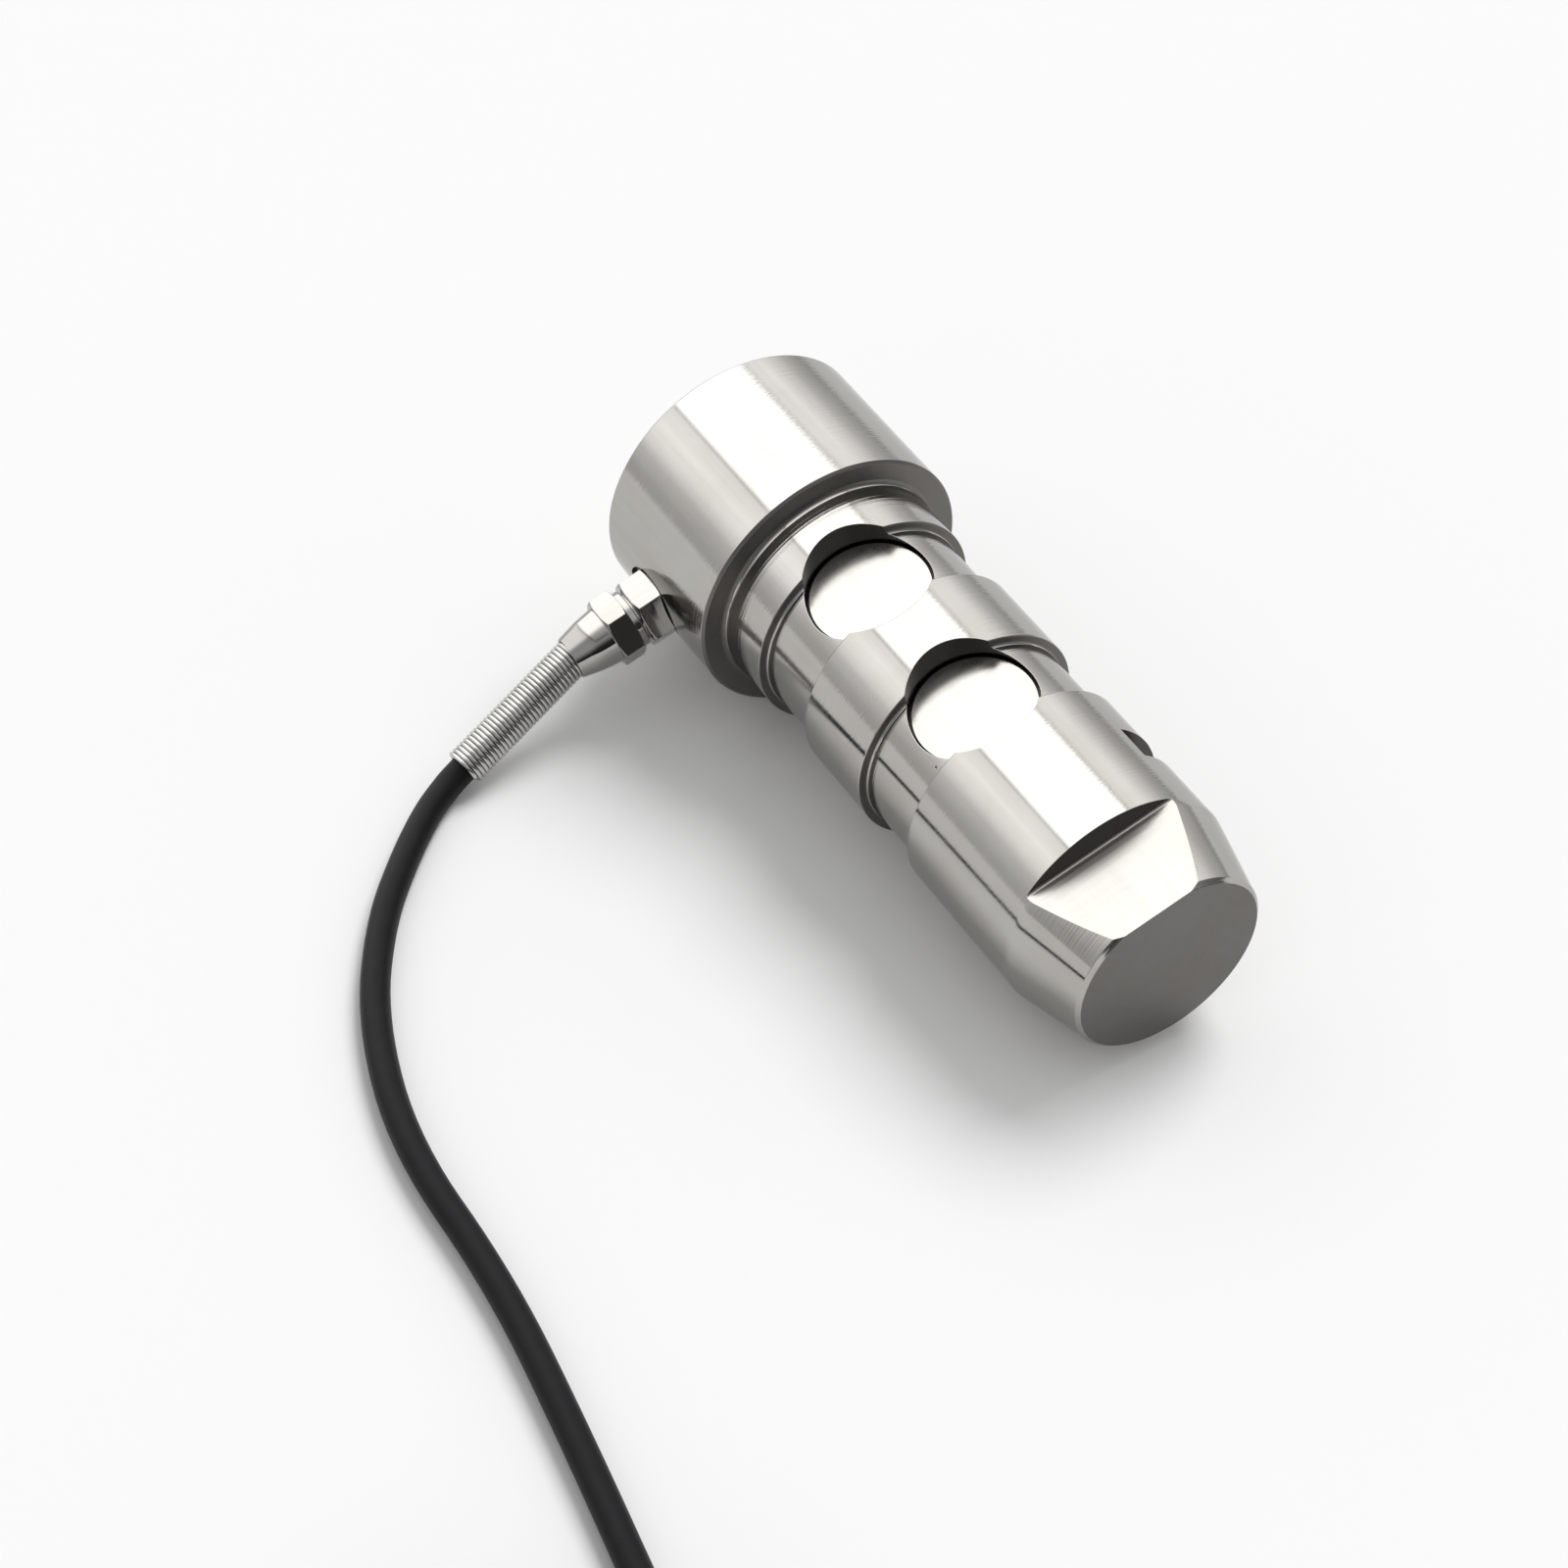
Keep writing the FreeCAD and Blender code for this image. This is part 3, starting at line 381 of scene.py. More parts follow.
def add(tree, kind, settings=None, **inputs):
    """Adds a node, sets its own settings, and fills or links its inputs, which are named with
    _ for a space, or i0, i1 and so on."""
    node = tree.nodes.new(kind)
    for key, value in (settings or {}).items():
        setattr(node, key, value)
    for key, value in inputs.items():
        socket = node.inputs[int(key[1:]) if key[1:].isdigit() else key.replace("_", " ")]
        if isinstance(value, bpy.types.NodeSocket):
            tree.links.new(value, socket)
        else:
            socket.default_value = value
    return node


def new_material(name):
    """A material and its empty node tree."""
    material = bpy.data.materials.new(name)
    material.use_nodes = True
    material.node_tree.nodes.clear()
    return material, material.node_tree


# Tone of turned steel: size of its clouds, length and width of its streaks, in mm, the part of
# their noise that is used, and the shares of the colour at its two ends
CLOUD_MM = 14
STREAK_MM = (70, 2.5)
TONE_NOISE = (0.36, 0.62)
DARK_SHARE, LIGHT_SHARE = (0.95, 0.938, 0.92, 1.0), (1.03, 1.03, 1.03, 1.0)
# Iron and nickel gain less towards a glancing angle than the plain rule gives
EDGE_TINT = (0.78, 0.78, 0.78, 1.0)


def lathe_metal(name, tint, axes, rough, spread, line_mm, depth_mm, edge_mm=0.2):
    """Turned or ground metal: fine lines run round the axis, so a reflection is drawn out
    along the piece and stays sharp across it. Lines are steps of noise along the axis only, and
    the tone drifts in clouds and in streaks along the axis. The real lines are a few hundredths
    of a millimetre apart, and are drawn coarser so that they show."""
    material, tree = new_material(name)
    here = add(tree, "ShaderNodeTexCoord")
    turn = Matrix(axes.tolist()).inverted().to_euler()
    own = add(tree, "ShaderNodeMapping", Vector=here.outputs["Object"], Rotation=turn)
    lines = add(tree, "ShaderNodeMapping", Vector=own.outputs[0],
                Scale=(1 / (line_mm * MM), 6.0, 6.0))
    fine = add(tree, "ShaderNodeTexNoise", Vector=lines.outputs[0], Scale=1.0, Detail=2.0,
               Roughness=0.6)
    cloud = add(tree, "ShaderNodeTexNoise", Vector=own.outputs[0], Scale=1 / (CLOUD_MM * MM),
                Detail=3.0, Roughness=0.55)
    drawn = add(tree, "ShaderNodeMapping", Vector=own.outputs[0],
                Scale=(1 / (STREAK_MM[0] * MM), 1 / (STREAK_MM[1] * MM),
                       1 / (STREAK_MM[1] * MM)))
    streaks = add(tree, "ShaderNodeTexNoise", Vector=drawn.outputs[0], Scale=1.0, Detail=3.0,
                  Roughness=0.6)
    polish = add(tree, "ShaderNodeMapRange", Value=fine.outputs[0], From_Min=0.3, From_Max=0.7,
                 To_Min=rough - spread, To_Max=rough + spread)
    breath = add(tree, "ShaderNodeMath", {"operation": "MULTIPLY_ADD"},
                 i0=cloud.outputs[0], i1=spread * 1.5, i2=polish.outputs[0])
    tone_drift = add(tree, "ShaderNodeMix", {"data_type": "FLOAT"}, i0=0.5, i2=cloud.outputs[0],
                i3=streaks.outputs[0])
    shift = add(tree, "ShaderNodeMapRange", Value=tone_drift.outputs[0], From_Min=TONE_NOISE[0],
                From_Max=TONE_NOISE[1])
    dark, light = (tuple(part * share for part, share in zip(tint, shares))
                   for shares in (DARK_SHARE, LIGHT_SHARE))
    toned = add(tree, "ShaderNodeMix", {"data_type": "RGBA"}, i0=shift.outputs[0], i6=dark,
                i7=light)
    rounded = add(tree, "ShaderNodeBevel", {"samples": 6}, Radius=edge_mm * MM)
    bump = add(tree, "ShaderNodeBump", Strength=1.0, Distance=depth_mm * MM,
               Height=fine.outputs[0], Normal=rounded.outputs[0])
    shader = add(tree, "ShaderNodeBsdfPrincipled", Metallic=1.0, Specular_Tint=EDGE_TINT,
                 Base_Color=toned.outputs[2], Roughness=breath.outputs[0],
                 Normal=bump.outputs[0])
    add(tree, "ShaderNodeOutputMaterial", Surface=shader.outputs[0])
    return material


def plain_finish(name, tint, rough, metallic=0.0, grain_mm=1.0, depth_mm=0.004, vary=0.12,
                 shine=0.5):
    """Moulded, lacquered or drawn surface: a fine grain in its height and its roughness, and
    clouds nine grains wide in its tone."""
    material, tree = new_material(name)
    here = add(tree, "ShaderNodeTexCoord")
    grain = add(tree, "ShaderNodeTexNoise", Vector=here.outputs["Object"],
                Scale=1 / (grain_mm * MM), Detail=3.0, Roughness=0.6)
    cloud = add(tree, "ShaderNodeTexNoise", Vector=here.outputs["Object"],
                Scale=1 / (grain_mm * 9 * MM), Detail=2.0)
    polish = add(tree, "ShaderNodeMath", {"operation": "MULTIPLY_ADD"},
                 i0=grain.outputs[0], i1=vary, i2=rough - vary / 2)
    shift = add(tree, "ShaderNodeMapRange", Value=cloud.outputs[0], From_Min=0.3, From_Max=0.7,
                To_Min=0.85, To_Max=1.12)
    toned = add(tree, "ShaderNodeMix", {"data_type": "RGBA", "blend_type": "MULTIPLY"},
                i0=1.0, i6=tint, i7=shift.outputs[0])
    bump = add(tree, "ShaderNodeBump", Strength=1.0, Distance=depth_mm * MM,
               Height=grain.outputs[0])
    shader = add(tree, "ShaderNodeBsdfPrincipled", Metallic=metallic, Specular_IOR_Level=shine,
                 Base_Color=toned.outputs[2], Roughness=polish.outputs[0],
                 Normal=bump.outputs[0])
    add(tree, "ShaderNodeOutputMaterial", Surface=shader.outputs[0])
    return material


def dress(names, material):
    """Gives a material to CAD nodes, whose names stand in one text."""
    for name in names.split():
        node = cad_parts[name]
        node.data.materials.clear()
        node.data.materials.append(material)


def dress_plain(rows):
    """Gives the CAD nodes of each row a plain finish."""
    for names, material, tint, *rest in rows:
        dress(names, plain_finish(material, linear(tint), *rest))


class LOADPIN_OT_camera(bpy.types.Operator):
    """Sets the camera at the angle of the picture"""

    bl_idname = "loadpin.camera"
    bl_label = "Camera"

    def execute(self, context):
        # where the picture was taken from, worked out from the pin's edges in it
        data = bpy.data.cameras.new("camera")
        data.lens = 83.975
        data.sensor_width = 36.0
        data.clip_start = 0.01
        camera = bpy.data.objects.new("camera", data)
        camera.location = (0.425084, -0.278973, 0.530917)
        look = Vector((-0.5961, 0.3756, -0.7095))
        camera.rotation_euler = look.to_track_quat("-Z", "Y").to_euler()
        context.scene.collection.objects.link(camera)
        context.scene.camera = camera
        context.scene.view_settings.view_transform = "Standard"
        return {"FINISHED"}


# Control points of the free cable on the floor, from the spring's mouth to the coil, in mm
CABLE_ROUTE = (
    (-55.12, -53.68, 5.0), (-54.58, -56.42, 3.91), (-53.2, -59.4, 3.3), (-49.9, -64.7, 3.0),
    (-41.6, -74.1, 3.0), (-28.2, -86.8, 3.0), (-6.7, -100.1, 3.0), (23.8, -109.4, 3.0),
    (61.3, -109.6, 3.0), (98.6, -115.0, 3.0), (135.14, -121.23, 3.0), (152.96, -123.74, 3.0),
)
CABLE_END = (143.99, -202.46, 3.0)

# Middle of the coil in mm, and where the cable comes in and leaves it, in degrees
COIL_CENTRE = (171.3, -165.7)
COIL_ENTRY = 82.0
COIL_EXIT = -95.0
COIL_FULL_TURNS = 10
POINTS_PER_TURN = 16
# Seats of the turns one after another: (layer from the floor, ring from the inside)
COIL_SEATS = ((0, 2), (0, 1), (0, 0), (1, 0), (2, 0), (3, 0), (3, 1), (3, 2), (2, 2), (2, 1),
              (1, 1), (1, 2), (0, 2))
# Degrees over which a turn changes its seat, before the first change and after the last
SEAT_CHANGE = 24.0
FIRST_CHANGE = 50.0
LAST_CHANGE = 42.0

# Parts of the cable that keep their CAD shape: nodes, material, colour, roughness, metallic,
# grain in mm, and where they aren't the usual ones its depth in mm and the roughness's spread
CABLE_PARTS = (
    # polyolefin sleeve, shrunk on: slightly glossier than the jacket, with a long wave
    ("end_sleeve", "shrunk polyolefin sleeve", "1B1B1D", 0.38, 0.0, 0.8, 0.02),
    # PVC insulation, extruded: glossy and evenly coloured
    ("core_red", "red insulation PVC", "B3261E", 0.3, 0.0, 0.5),
    ("core_black", "black insulation PVC", "1C1C1E", 0.3, 0.0, 0.5),
    ("core_green", "green insulation PVC", "2F7D43", 0.3, 0.0, 0.5),
    ("core_white", "white insulation PVC", "E8E6E0", 0.3, 0.0, 0.5),
    # tinned copper screen, twisted into a tail: fine bright strands
    ("screen_tail", "tinned copper strands", "C9C6BF", 0.32, 1.0, 0.3, 0.06, 0.3),
    # the cores together inside the head: a duller, uneven bundle
    ("lead_cores", "core bundle PVC", "A8452F", 0.4, 0.0, 0.6, 0.05),
)


def coil_points(cable):
    """Control points of the coil, POINTS_PER_TURN to a turn: angle falls evenly from the entry,
    and radius and height step from one seat to the next over SEAT_CHANGE degrees. Each change
    comes a little earlier in its turn than the last, so turns in change never meet."""
    whole = COIL_ENTRY - COIL_EXIT + 360 * COIL_FULL_TURNS
    turned_by = np.linspace(0, whole, round(whole / 360 * POINTS_PER_TURN) + 1)
    seats = np.array(COIL_SEATS, float)
    changes = np.linspace(FIRST_CHANGE, whole - LAST_CHANGE, len(seats) - 1)
    part = np.clip((turned_by[:, None] - changes) / SEAT_CHANGE + 0.5, 0, 1)
    seat = seats[0] + part @ np.diff(seats, axis=0)
    pitch = 2 * cable.radius
    pull = math.cos(math.pi / POINTS_PER_TURN)
    radius = (cable.coil_r + (seat[:, 1] - 1) * pitch) / pull
    angles = np.radians(COIL_ENTRY - turned_by)
    return np.column_stack((COIL_CENTRE[0] * MM + radius * np.cos(angles),
                            COIL_CENTRE[1] * MM + radius * np.sin(angles),
                            cable.radius + seat[:, 0] * pitch))


class LOADPIN_OT_cable(bpy.types.Operator):
    """Lays the cable along the floor and round its coil, and finishes its stripped end"""

    bl_idname = "loadpin.cable"
    bl_label = "Cable"

    def execute(self, context):
        cable = context.scene.load_cable
        points = np.concatenate((np.array(CABLE_ROUTE) * MM, coil_points(cable),
                                 np.array((CABLE_END,)) * MM))
        curve = bpy.data.curves.new("cable", "CURVE")
        curve.dimensions = "3D"
        curve.bevel_depth = cable.radius
        curve.bevel_resolution = 6
        curve.use_fill_caps = True
        spline = curve.splines.new("NURBS")
        spline.points.add(len(points) - 1)
        spline.points.foreach_set(
            "co", np.column_stack((points, np.ones(len(points)))).ravel())
        spline.order_u = 3
        spline.use_endpoint_u = True
        spline.resolution_u = 8
        cord = bpy.data.objects.new("cable", curve)
        context.scene.collection.objects.link(cord)
        # polyurethane jacket, extruded: soft matt black with a faint satin sheen
        jacket = plain_finish("matt polyurethane jacket", cable.jacket, 0.45, grain_mm=0.35,
                              depth_mm=0.012, vary=0.1, shine=0.12)
        curve.materials.append(jacket)
        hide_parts("cable_tube", "cable_coil")
        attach(cord, "root")
        dress("cable_lead", jacket)
        dress_plain(CABLE_PARTS)
        return {"FINISHED"}


def pocket_cutters(pin, axes):
    """Stepped bores of the four gauge pockets, and the two drillings that lead to them."""
    reach = pin.head_r + OVERCUT
    centres = pocket_centres(pin)
    cutters = []
    # the pockets' walls take the cut finish, painted dark as shade, and the drillings the faced
    # one, painted darker as shade
    for side in (1, -1):
        cutters += [bored("pocket", ((pin.web_half, pin.pocket_inner_r),
                                     (pin.pocket_ledge, pin.pocket_r)), reach,
                          PIN_REAR + axes[:, 0] * centre, pocket_axes(axes, side), 128, CUT_PAINTED_SHADE)
                    for centre in centres]
        cutters.append(bored("drilling", ((DRILLING_START, DRILLING_R),),
                             centres[1] - DRILLING_SHORT,
                             PIN_REAR + axes[:, 2] * side * DRILLING_OFF * MM, axes, 24, FACED_PAINTED_SHADE))
    return cutters


def keeper_cutters(pin, axes):
    """Cutters of the keeper flat and the keeper slot. The flat's is an outline in height and
    length with a quarter round at the wall's foot, carried across the pin."""
    reach, wall = pin.head_r + OVERCUT, end_land_end(pin) - pin.flat_overlap
    quarter = np.linspace(0, math.pi / 2, 7)[:, None]
    foot = pin.flat_root * (1 - np.hstack((np.cos(quarter), np.sin(quarter))))
    outline = np.concatenate((((pin.flat_height, FLAT_END),), (pin.flat_height, wall) + foot,
                              ((reach, wall), (reach, FLAT_END))))
    # the flat's wall, the slot and the cutters' outer sides take the cut finish, painted dark as
    # shade
    finishes = np.full(len(outline), MILLED)
    finishes[-3:] = CUT_PAINTED_SHADE
    flat_axes = np.column_stack((axes[:, 1], axes[:, 2], axes[:, 0]))
    flat = prism("flat", outline, -reach, reach, PIN_REAR, flat_axes, True, finishes)
    section = np.array(((pin.slot_floor, -reach), (reach, -reach), (reach, reach),
                        (pin.slot_floor, reach)))
    slot = prism("slot", section, pin.slot_start, pin.slot_start + pin.slot_width, PIN_REAR,
                 axes, True, CUT_PAINTED_SHADE, CUT_PAINTED_SHADE)
    return [flat, slot]


def small_cutters(pin, gland, axes):
    """The gland's port with its spot face, the tapped holes and the small pit."""
    x, y, z = axes[:, 0], axes[:, 1], axes[:, 2]
    spot_r = gland.across_flats / math.sqrt(3) + SPOT_GAP
    # the spot face, the tapped holes and the pit take the faced finish, painted darker as shade
    cutters = [bored("spot face", ((PORT_START, PORT_R), (gland.seat, spot_r)),
                     pin.head_r + OVERCUT, gland_root(pin, gland), gland_axes(pin, gland), 96,
                     FACED_PAINTED_SHADE)]
    for quarter in range(4):
        turn = math.radians(45 + 90 * quarter)
        across = y * math.cos(turn) + z * math.sin(turn)
        cutters += [bored("tapped hole", ((-REAR_OVERCUT, radius * MM),), end * MM,
                          PIN_REAR + across * middle * MM, axes, 24, FACED_PAINTED_SHADE)
                    for middle, radius, end in TAPPED_HOLES]
    out = z * math.cos(pin.pit_angle) - y * math.sin(pin.pit_angle)
    floor, mouth = pin.groove_r - PIT_REACH, pin.groove_r + PIT_REACH
    cutters.append(turned(
        "pit", [(floor, 0), (floor, PIT_FLOOR_R), (mouth, PIT_MOUTH_R), (mouth, 0)],
        PIN_REAR + x * pin.pit_along, np.column_stack((out, x, np.cross(out, x))), 16, True,
        FACED_PAINTED_SHADE))
    return cutters


def pin_outline(pin):
    """Outline of the turned pin from the floor of its hollow round to the middle of its tip, as
    corners (along, radius, rounding)."""
    edge, root, crisp = pin.edge_round, pin.root_round, 0.2 * MM
    land_end = end_land_end(pin)
    tip = land_end + pin.taper
    rim_r = pin.tip_r + (pin.shaft_r - pin.tip_r) / pin.taper * pin.tip_chamfer
    corners = [
        (HOLLOW_DEPTH, 0), (HOLLOW_DEPTH, HOLLOW_R), (COVER_DEPTH, HOLLOW_R),
        (COVER_DEPTH, COVER_R), (0, COVER_R), (0, pin.head_r - pin.head_chamfer, edge),
        (pin.head_chamfer, pin.head_r, edge),
        (pin.head_length - pin.shoulder_chamfer, pin.head_r, crisp),
        (pin.head_length, pin.head_r - pin.shoulder_chamfer, crisp),
        (pin.head_length, pin.shaft_r, 2 * root),
    ]
    for start in groove_starts(pin):
        end = start + pin.groove_width
        corners += [(start, pin.shaft_r, edge), (start, pin.groove_r, root),
                    (end, pin.groove_r, root), (end, pin.shaft_r, edge)]
    return corners + [(land_end, pin.shaft_r, 6 * MM), (tip - pin.tip_chamfer, rim_r, edge),
                      (tip, rim_r - pin.tip_chamfer, edge), (tip, 0)]


def face_finishes(mesh, pin, axes):
    """Finish of each face of the turned pin: faced where it looks along the axis, as the
    shoulders and the grooves' walls do and the shoulder's chamfer too, and ground elsewhere. The
    faces in the planes of the two ends have a finish of their own. The faced and end finishes
    are painted darker, as painted shade on the faces that look along the axis."""
    normals, centres = (np.zeros(len(mesh.polygons) * 3, np.float32) for _use in range(2))
    mesh.polygons.foreach_get("normal", normals)
    mesh.polygons.foreach_get("center", centres)
    ahead = normals.reshape(-1, 3) @ axes[:, 0]
    along = (centres.reshape(-1, 3) - PIN_REAR) @ axes[:, 0]
    least = np.where((ahead > 0) & (along < pin.neck_end), SHOULDER_LEAN, FACED_LEAN)
    finish = np.where(np.abs(ahead) > least, FACED_PAINTED_SHADE, GROUND).astype(np.int32)
    near, tip = 0.5 * MM, end_land_end(pin) + pin.taper
    finish[(finish == FACED_PAINTED_SHADE) & ((along < near) | (along > tip - near))] = END_FACED_PAINTED_SHADE
    return finish


class LOADPIN_OT_pin(bpy.types.Operator):
    """Turns the pin, then bores, mills and finishes it"""

    bl_idname = "loadpin.pin"
    bl_label = "Pin"

    def execute(self, context):
        pin, gland = context.scene.load_pin, context.scene.load_gland
        axes = pin_axes(pin)
        body = turned("pin", pin_outline(pin), PIN_REAR, axes, 160)
        body.data.attributes["finish"].data.foreach_set(
            "value", face_finishes(body.data, pin, axes))
        combine(body, pocket_cutters(pin, axes) + keeper_cutters(pin, axes)
                + small_cutters(pin, gland, axes), "DIFFERENCE")
        shade(body, [
            # austenitic stainless steel, cylindrically ground: bright, with fine lines round it
            lathe_metal("ground stainless steel", pin.ground, axes, 0.08, 0.02, 0.35, 0.04),
            # the same steel, faced in the grooves and on the shoulder: satin, and painted darker
            # as shade
            lathe_metal("faced stainless steel with painted shade", pin.faced, axes, 0.4, 0.05, 0.5, 0.003),
            # its two end faces, faced finer: satin, with a soft picture of the floor, and
            # painted darker as shade
            lathe_metal("faced end steel with painted shade", pin.end_face, axes, 0.16, 0.04, 0.5, 0.003),
            # its keeper flat, milled and rubbed down: an even bright satin
            lathe_metal("milled stainless steel", pin.ground, axes, 0.3, 0.04, 0.6, 0.003),
            # gauge pockets, the flat's wall and the slot as the cutter left them: dull, and
            # painted dark as the shade in these recesses
            lathe_metal("dull cut stainless steel with painted shade", pin.cut, axes, 0.22, 0.05, 0.5, 0.003),
        ])
        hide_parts("pin_body")
        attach(body, "root")
        return {"FINISHED"}


class LOADPIN_OT_discs(bpy.types.Operator):
    """Turns the four sealing discs of the gauge pockets"""

    bl_idname = "loadpin.discs"
    bl_label = "Sealing discs"

    def execute(self, context):
        pin = context.scene.load_pin
        axes = pin_axes(pin)
        # stainless sheet, finely ground across its face: an even, very bright satin
        steel = lathe_metal("fine ground sheet steel", pin.ground, axes, 0.2, 0.03, 0.5, 0.002,
                            0.1)
        foot, top = pin.pocket_ledge, pin.pocket_ledge + pin.disc_thickness
        radius = pin.pocket_r - pin.disc_gap
        corners = [(foot, 0), (foot, radius, 0.1 * MM), (top, radius, 0.3 * MM), (top, 0)]
        for number, centre in enumerate(pocket_centres(pin), 1):
            for name, side in (("upper", 1), ("lower", -1)):
                disc = turned("sealing_disc_%s_%d" % (name, number), corners,
                              PIN_REAR + axes[:, 0] * centre, pocket_axes(axes, side), 96)
                shade(disc, [steel])
                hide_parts("disc_%s_%d" % (name, number))
                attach(disc, "root")
        return {"FINISHED"}


def hex_nut(name, gland, start, end, turn, root, axes):
    """Hexagonal bar, turned about its axis, whose corners are turned back at both ends."""
    half, corner = gland.across_flats / 2, gland.across_flats / math.sqrt(3)
    angles = turn + np.arange(6) * math.pi / 3
    bar = prism(name, corner * np.column_stack((np.cos(angles), np.sin(angles))), start, end,
                root, axes)
    back, outer, inner = (corner - half) * 0.5, corner + 0.1 * MM, half + 0.15 * MM
    dome = turned("dome", [(start, 0), (start, inner), (start + back, outer),
                           (end - back, outer), (end, inner), (end, 0)], root, axes, 96)
    combine(bar, [dome], "INTERSECT")
    return bar


class LOADPIN_OT_gland(bpy.types.Operator):
    """Makes the gland's hexagon and its cap"""

    bl_idname = "loadpin.gland"
    bl_label = "Gland"

    def execute(self, context):
        pin, gland = context.scene.load_pin, context.scene.load_gland
        root, axes = gland_root(pin, gland), gland_axes(pin, gland)
        hex_end = gland.seat + gland.body_height
        thread_start, spigot_end = gland.seat - THREAD_LENGTH, hex_end + SPIGOT_LENGTH
        body = hex_nut("gland_hexagon", gland, gland.seat, hex_end, BODY_TURN, root, axes)
        stem = turned("stem", [
            (thread_start, 0), (thread_start, THREAD_R), (gland.seat + OVERLAP, THREAD_R),
            (hex_end - OVERLAP, gland.spigot_r), (spigot_end, gland.spigot_r, 0.2 * MM),
            (spigot_end, 0)], root, axes, 64)
        combine(body, [stem], "UNION")
        bore = bored("bore", ((gland.seat - BORE_UNDER, BORE_R), SEAL_STEP), BORE_END, root,
                     axes, 64)
        combine(body, [bore], "DIFFERENCE")
        cap_hex = gland.cap_start + gland.collar_height
        dome_start = cap_hex + gland.cap_hex_height
        mouth = dome_start + gland.dome_height
        cap = hex_nut("cap_hexagon", gland, cap_hex, dome_start, CAP_TURN, root, axes)
        under_r, foot_r, middle_r, mouth_r = DOME_RADII
        dome = turned("dome", [
            (gland.cap_start, 0), (gland.cap_start, gland.collar_r, 0.3 * MM),
            (cap_hex + OVERLAP, gland.collar_r), (dome_start - OVERLAP, under_r),
            (dome_start, foot_r, 4 * MM), ((dome_start + mouth) / 2, middle_r, 20 * MM),
            (mouth, mouth_r, 0.12 * MM), (mouth, 0)], root, axes, 96)
        combine(cap, [dome], "UNION")
        combine(cap, [bored("thread", CAP_STEPS, CAP_BORE_END, root, axes, 64)], "DIFFERENCE")
        # nickel-plated brass: mirror bright, a little warm, with soft plated edges
        nickel = lathe_metal("bright nickel plate", gland.plating, axes, 0.05, 0.01, 0.5, 0.002,
                             0.25)
        for piece, node in ((body, "gland_body"), (cap, "cap_nut")):
            shade(piece, [nickel])
            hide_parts(node)
            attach(piece, "root")
        dress("clamp_ring", nickel)
        # nitrile rubber, moulded: matt and soft black
        dress("gland_o_ring gland_seal cover_o_ring",
              plain_finish("nitrile rubber", linear("1E1E20"), 0.6, grain_mm=0.3,
                           depth_mm=0.01))
        return {"FINISHED"}


# Steps in a turn of the spring and sides of its wire, and its wire and pitch as shares of the
# full ones, so that neighbouring turns stay just apart
TURN_STEPS, WIRE_SIDES = 36, 12
WIRE_SHARE, PITCH_SHARE = 0.985, 0.99


def spring_line(pin, gland):
    """Mouth of the cap, and the direction in which the spring lies down to the floor."""
    mouth_height = (gland.cap_start + gland.collar_height + gland.cap_hex_height
                    + gland.dome_height)
    mouth = gland_root(pin, gland) + gland_axes(pin, gland)[:, 0] * mouth_height
    slope = math.asin((mouth[2] - gland.end_height) / (gland.turns * gland.wire))
    way = np.array((math.cos(slope) * math.sin(gland.heading),
                    -math.cos(slope) * math.cos(gland.heading), -math.sin(slope)))
    return mouth, way


class LOADPIN_OT_spring(bpy.types.Operator):
    """Winds the bend spring out of the mouth of the cap"""

    bl_idname = "loadpin.spring"
    bl_label = "Bend spring"

    def execute(self, context):
        pin, gland = context.scene.load_pin, context.scene.load_gland
        mouth, way = spring_line(pin, gland)
        across = np.cross(way, (0, 0, 1.0))
        across /= np.linalg.norm(across)
        upward = np.cross(across, way)
        # helix: centre = mouth + way * pitch * turn + mean radius * (cos, sin) of the turn,
        # and each ring of the wire is a circle in the plane of its radius and the helix's axis
        turn = np.arange(-TURN_STEPS, (gland.turns - 0.5) * TURN_STEPS + 1) / TURN_STEPS
        out = (np.cos(2 * math.pi * turn)[:, None] * across
               + np.sin(2 * math.pi * turn)[:, None] * upward)
        line = (mouth + way * ((turn + 0.5) * gland.wire * PITCH_SHARE)[:, None]
                + out * (gland.spring_r - gland.wire / 2))
        around = 2 * math.pi * np.arange(WIRE_SIDES) / WIRE_SIDES
        ring = (np.cos(around)[None, :, None] * out[:, None]
                + np.sin(around)[None, :, None] * way)
        vertices = (line[:, None] + ring * (gland.wire / 2 * WIRE_SHARE)).reshape(-1, 3)
        index = np.arange(len(turn) * WIRE_SIDES).reshape(-1, WIRE_SIDES)
        low, high = index[:-1], index[1:]
        quads = np.stack((low, high, np.roll(high, -1, 1), np.roll(low, -1, 1)),
                         2).reshape(-1, 4)
        mesh = bpy.data.meshes.new("spring")
        mesh.from_pydata(vertices.tolist(), [],
                         quads.tolist() + [index[0].tolist(), index[-1][::-1].tolist()])
        mesh.polygons.foreach_set("use_smooth", np.ones(len(mesh.polygons), bool))
        mesh.update()
        spring = bpy.data.objects.new("wound_spring", mesh)
        context.scene.collection.objects.link(spring)
        # hard-drawn stainless spring wire: bright, with a faint drawn grain
        mesh.materials.append(plain_finish("drawn spring wire", gland.spring_steel, 0.14,
                                           metallic=1.0, grain_mm=0.4, vary=0.08))
        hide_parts("bend_spring")
        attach(spring, "root")
        return {"FINISHED"}


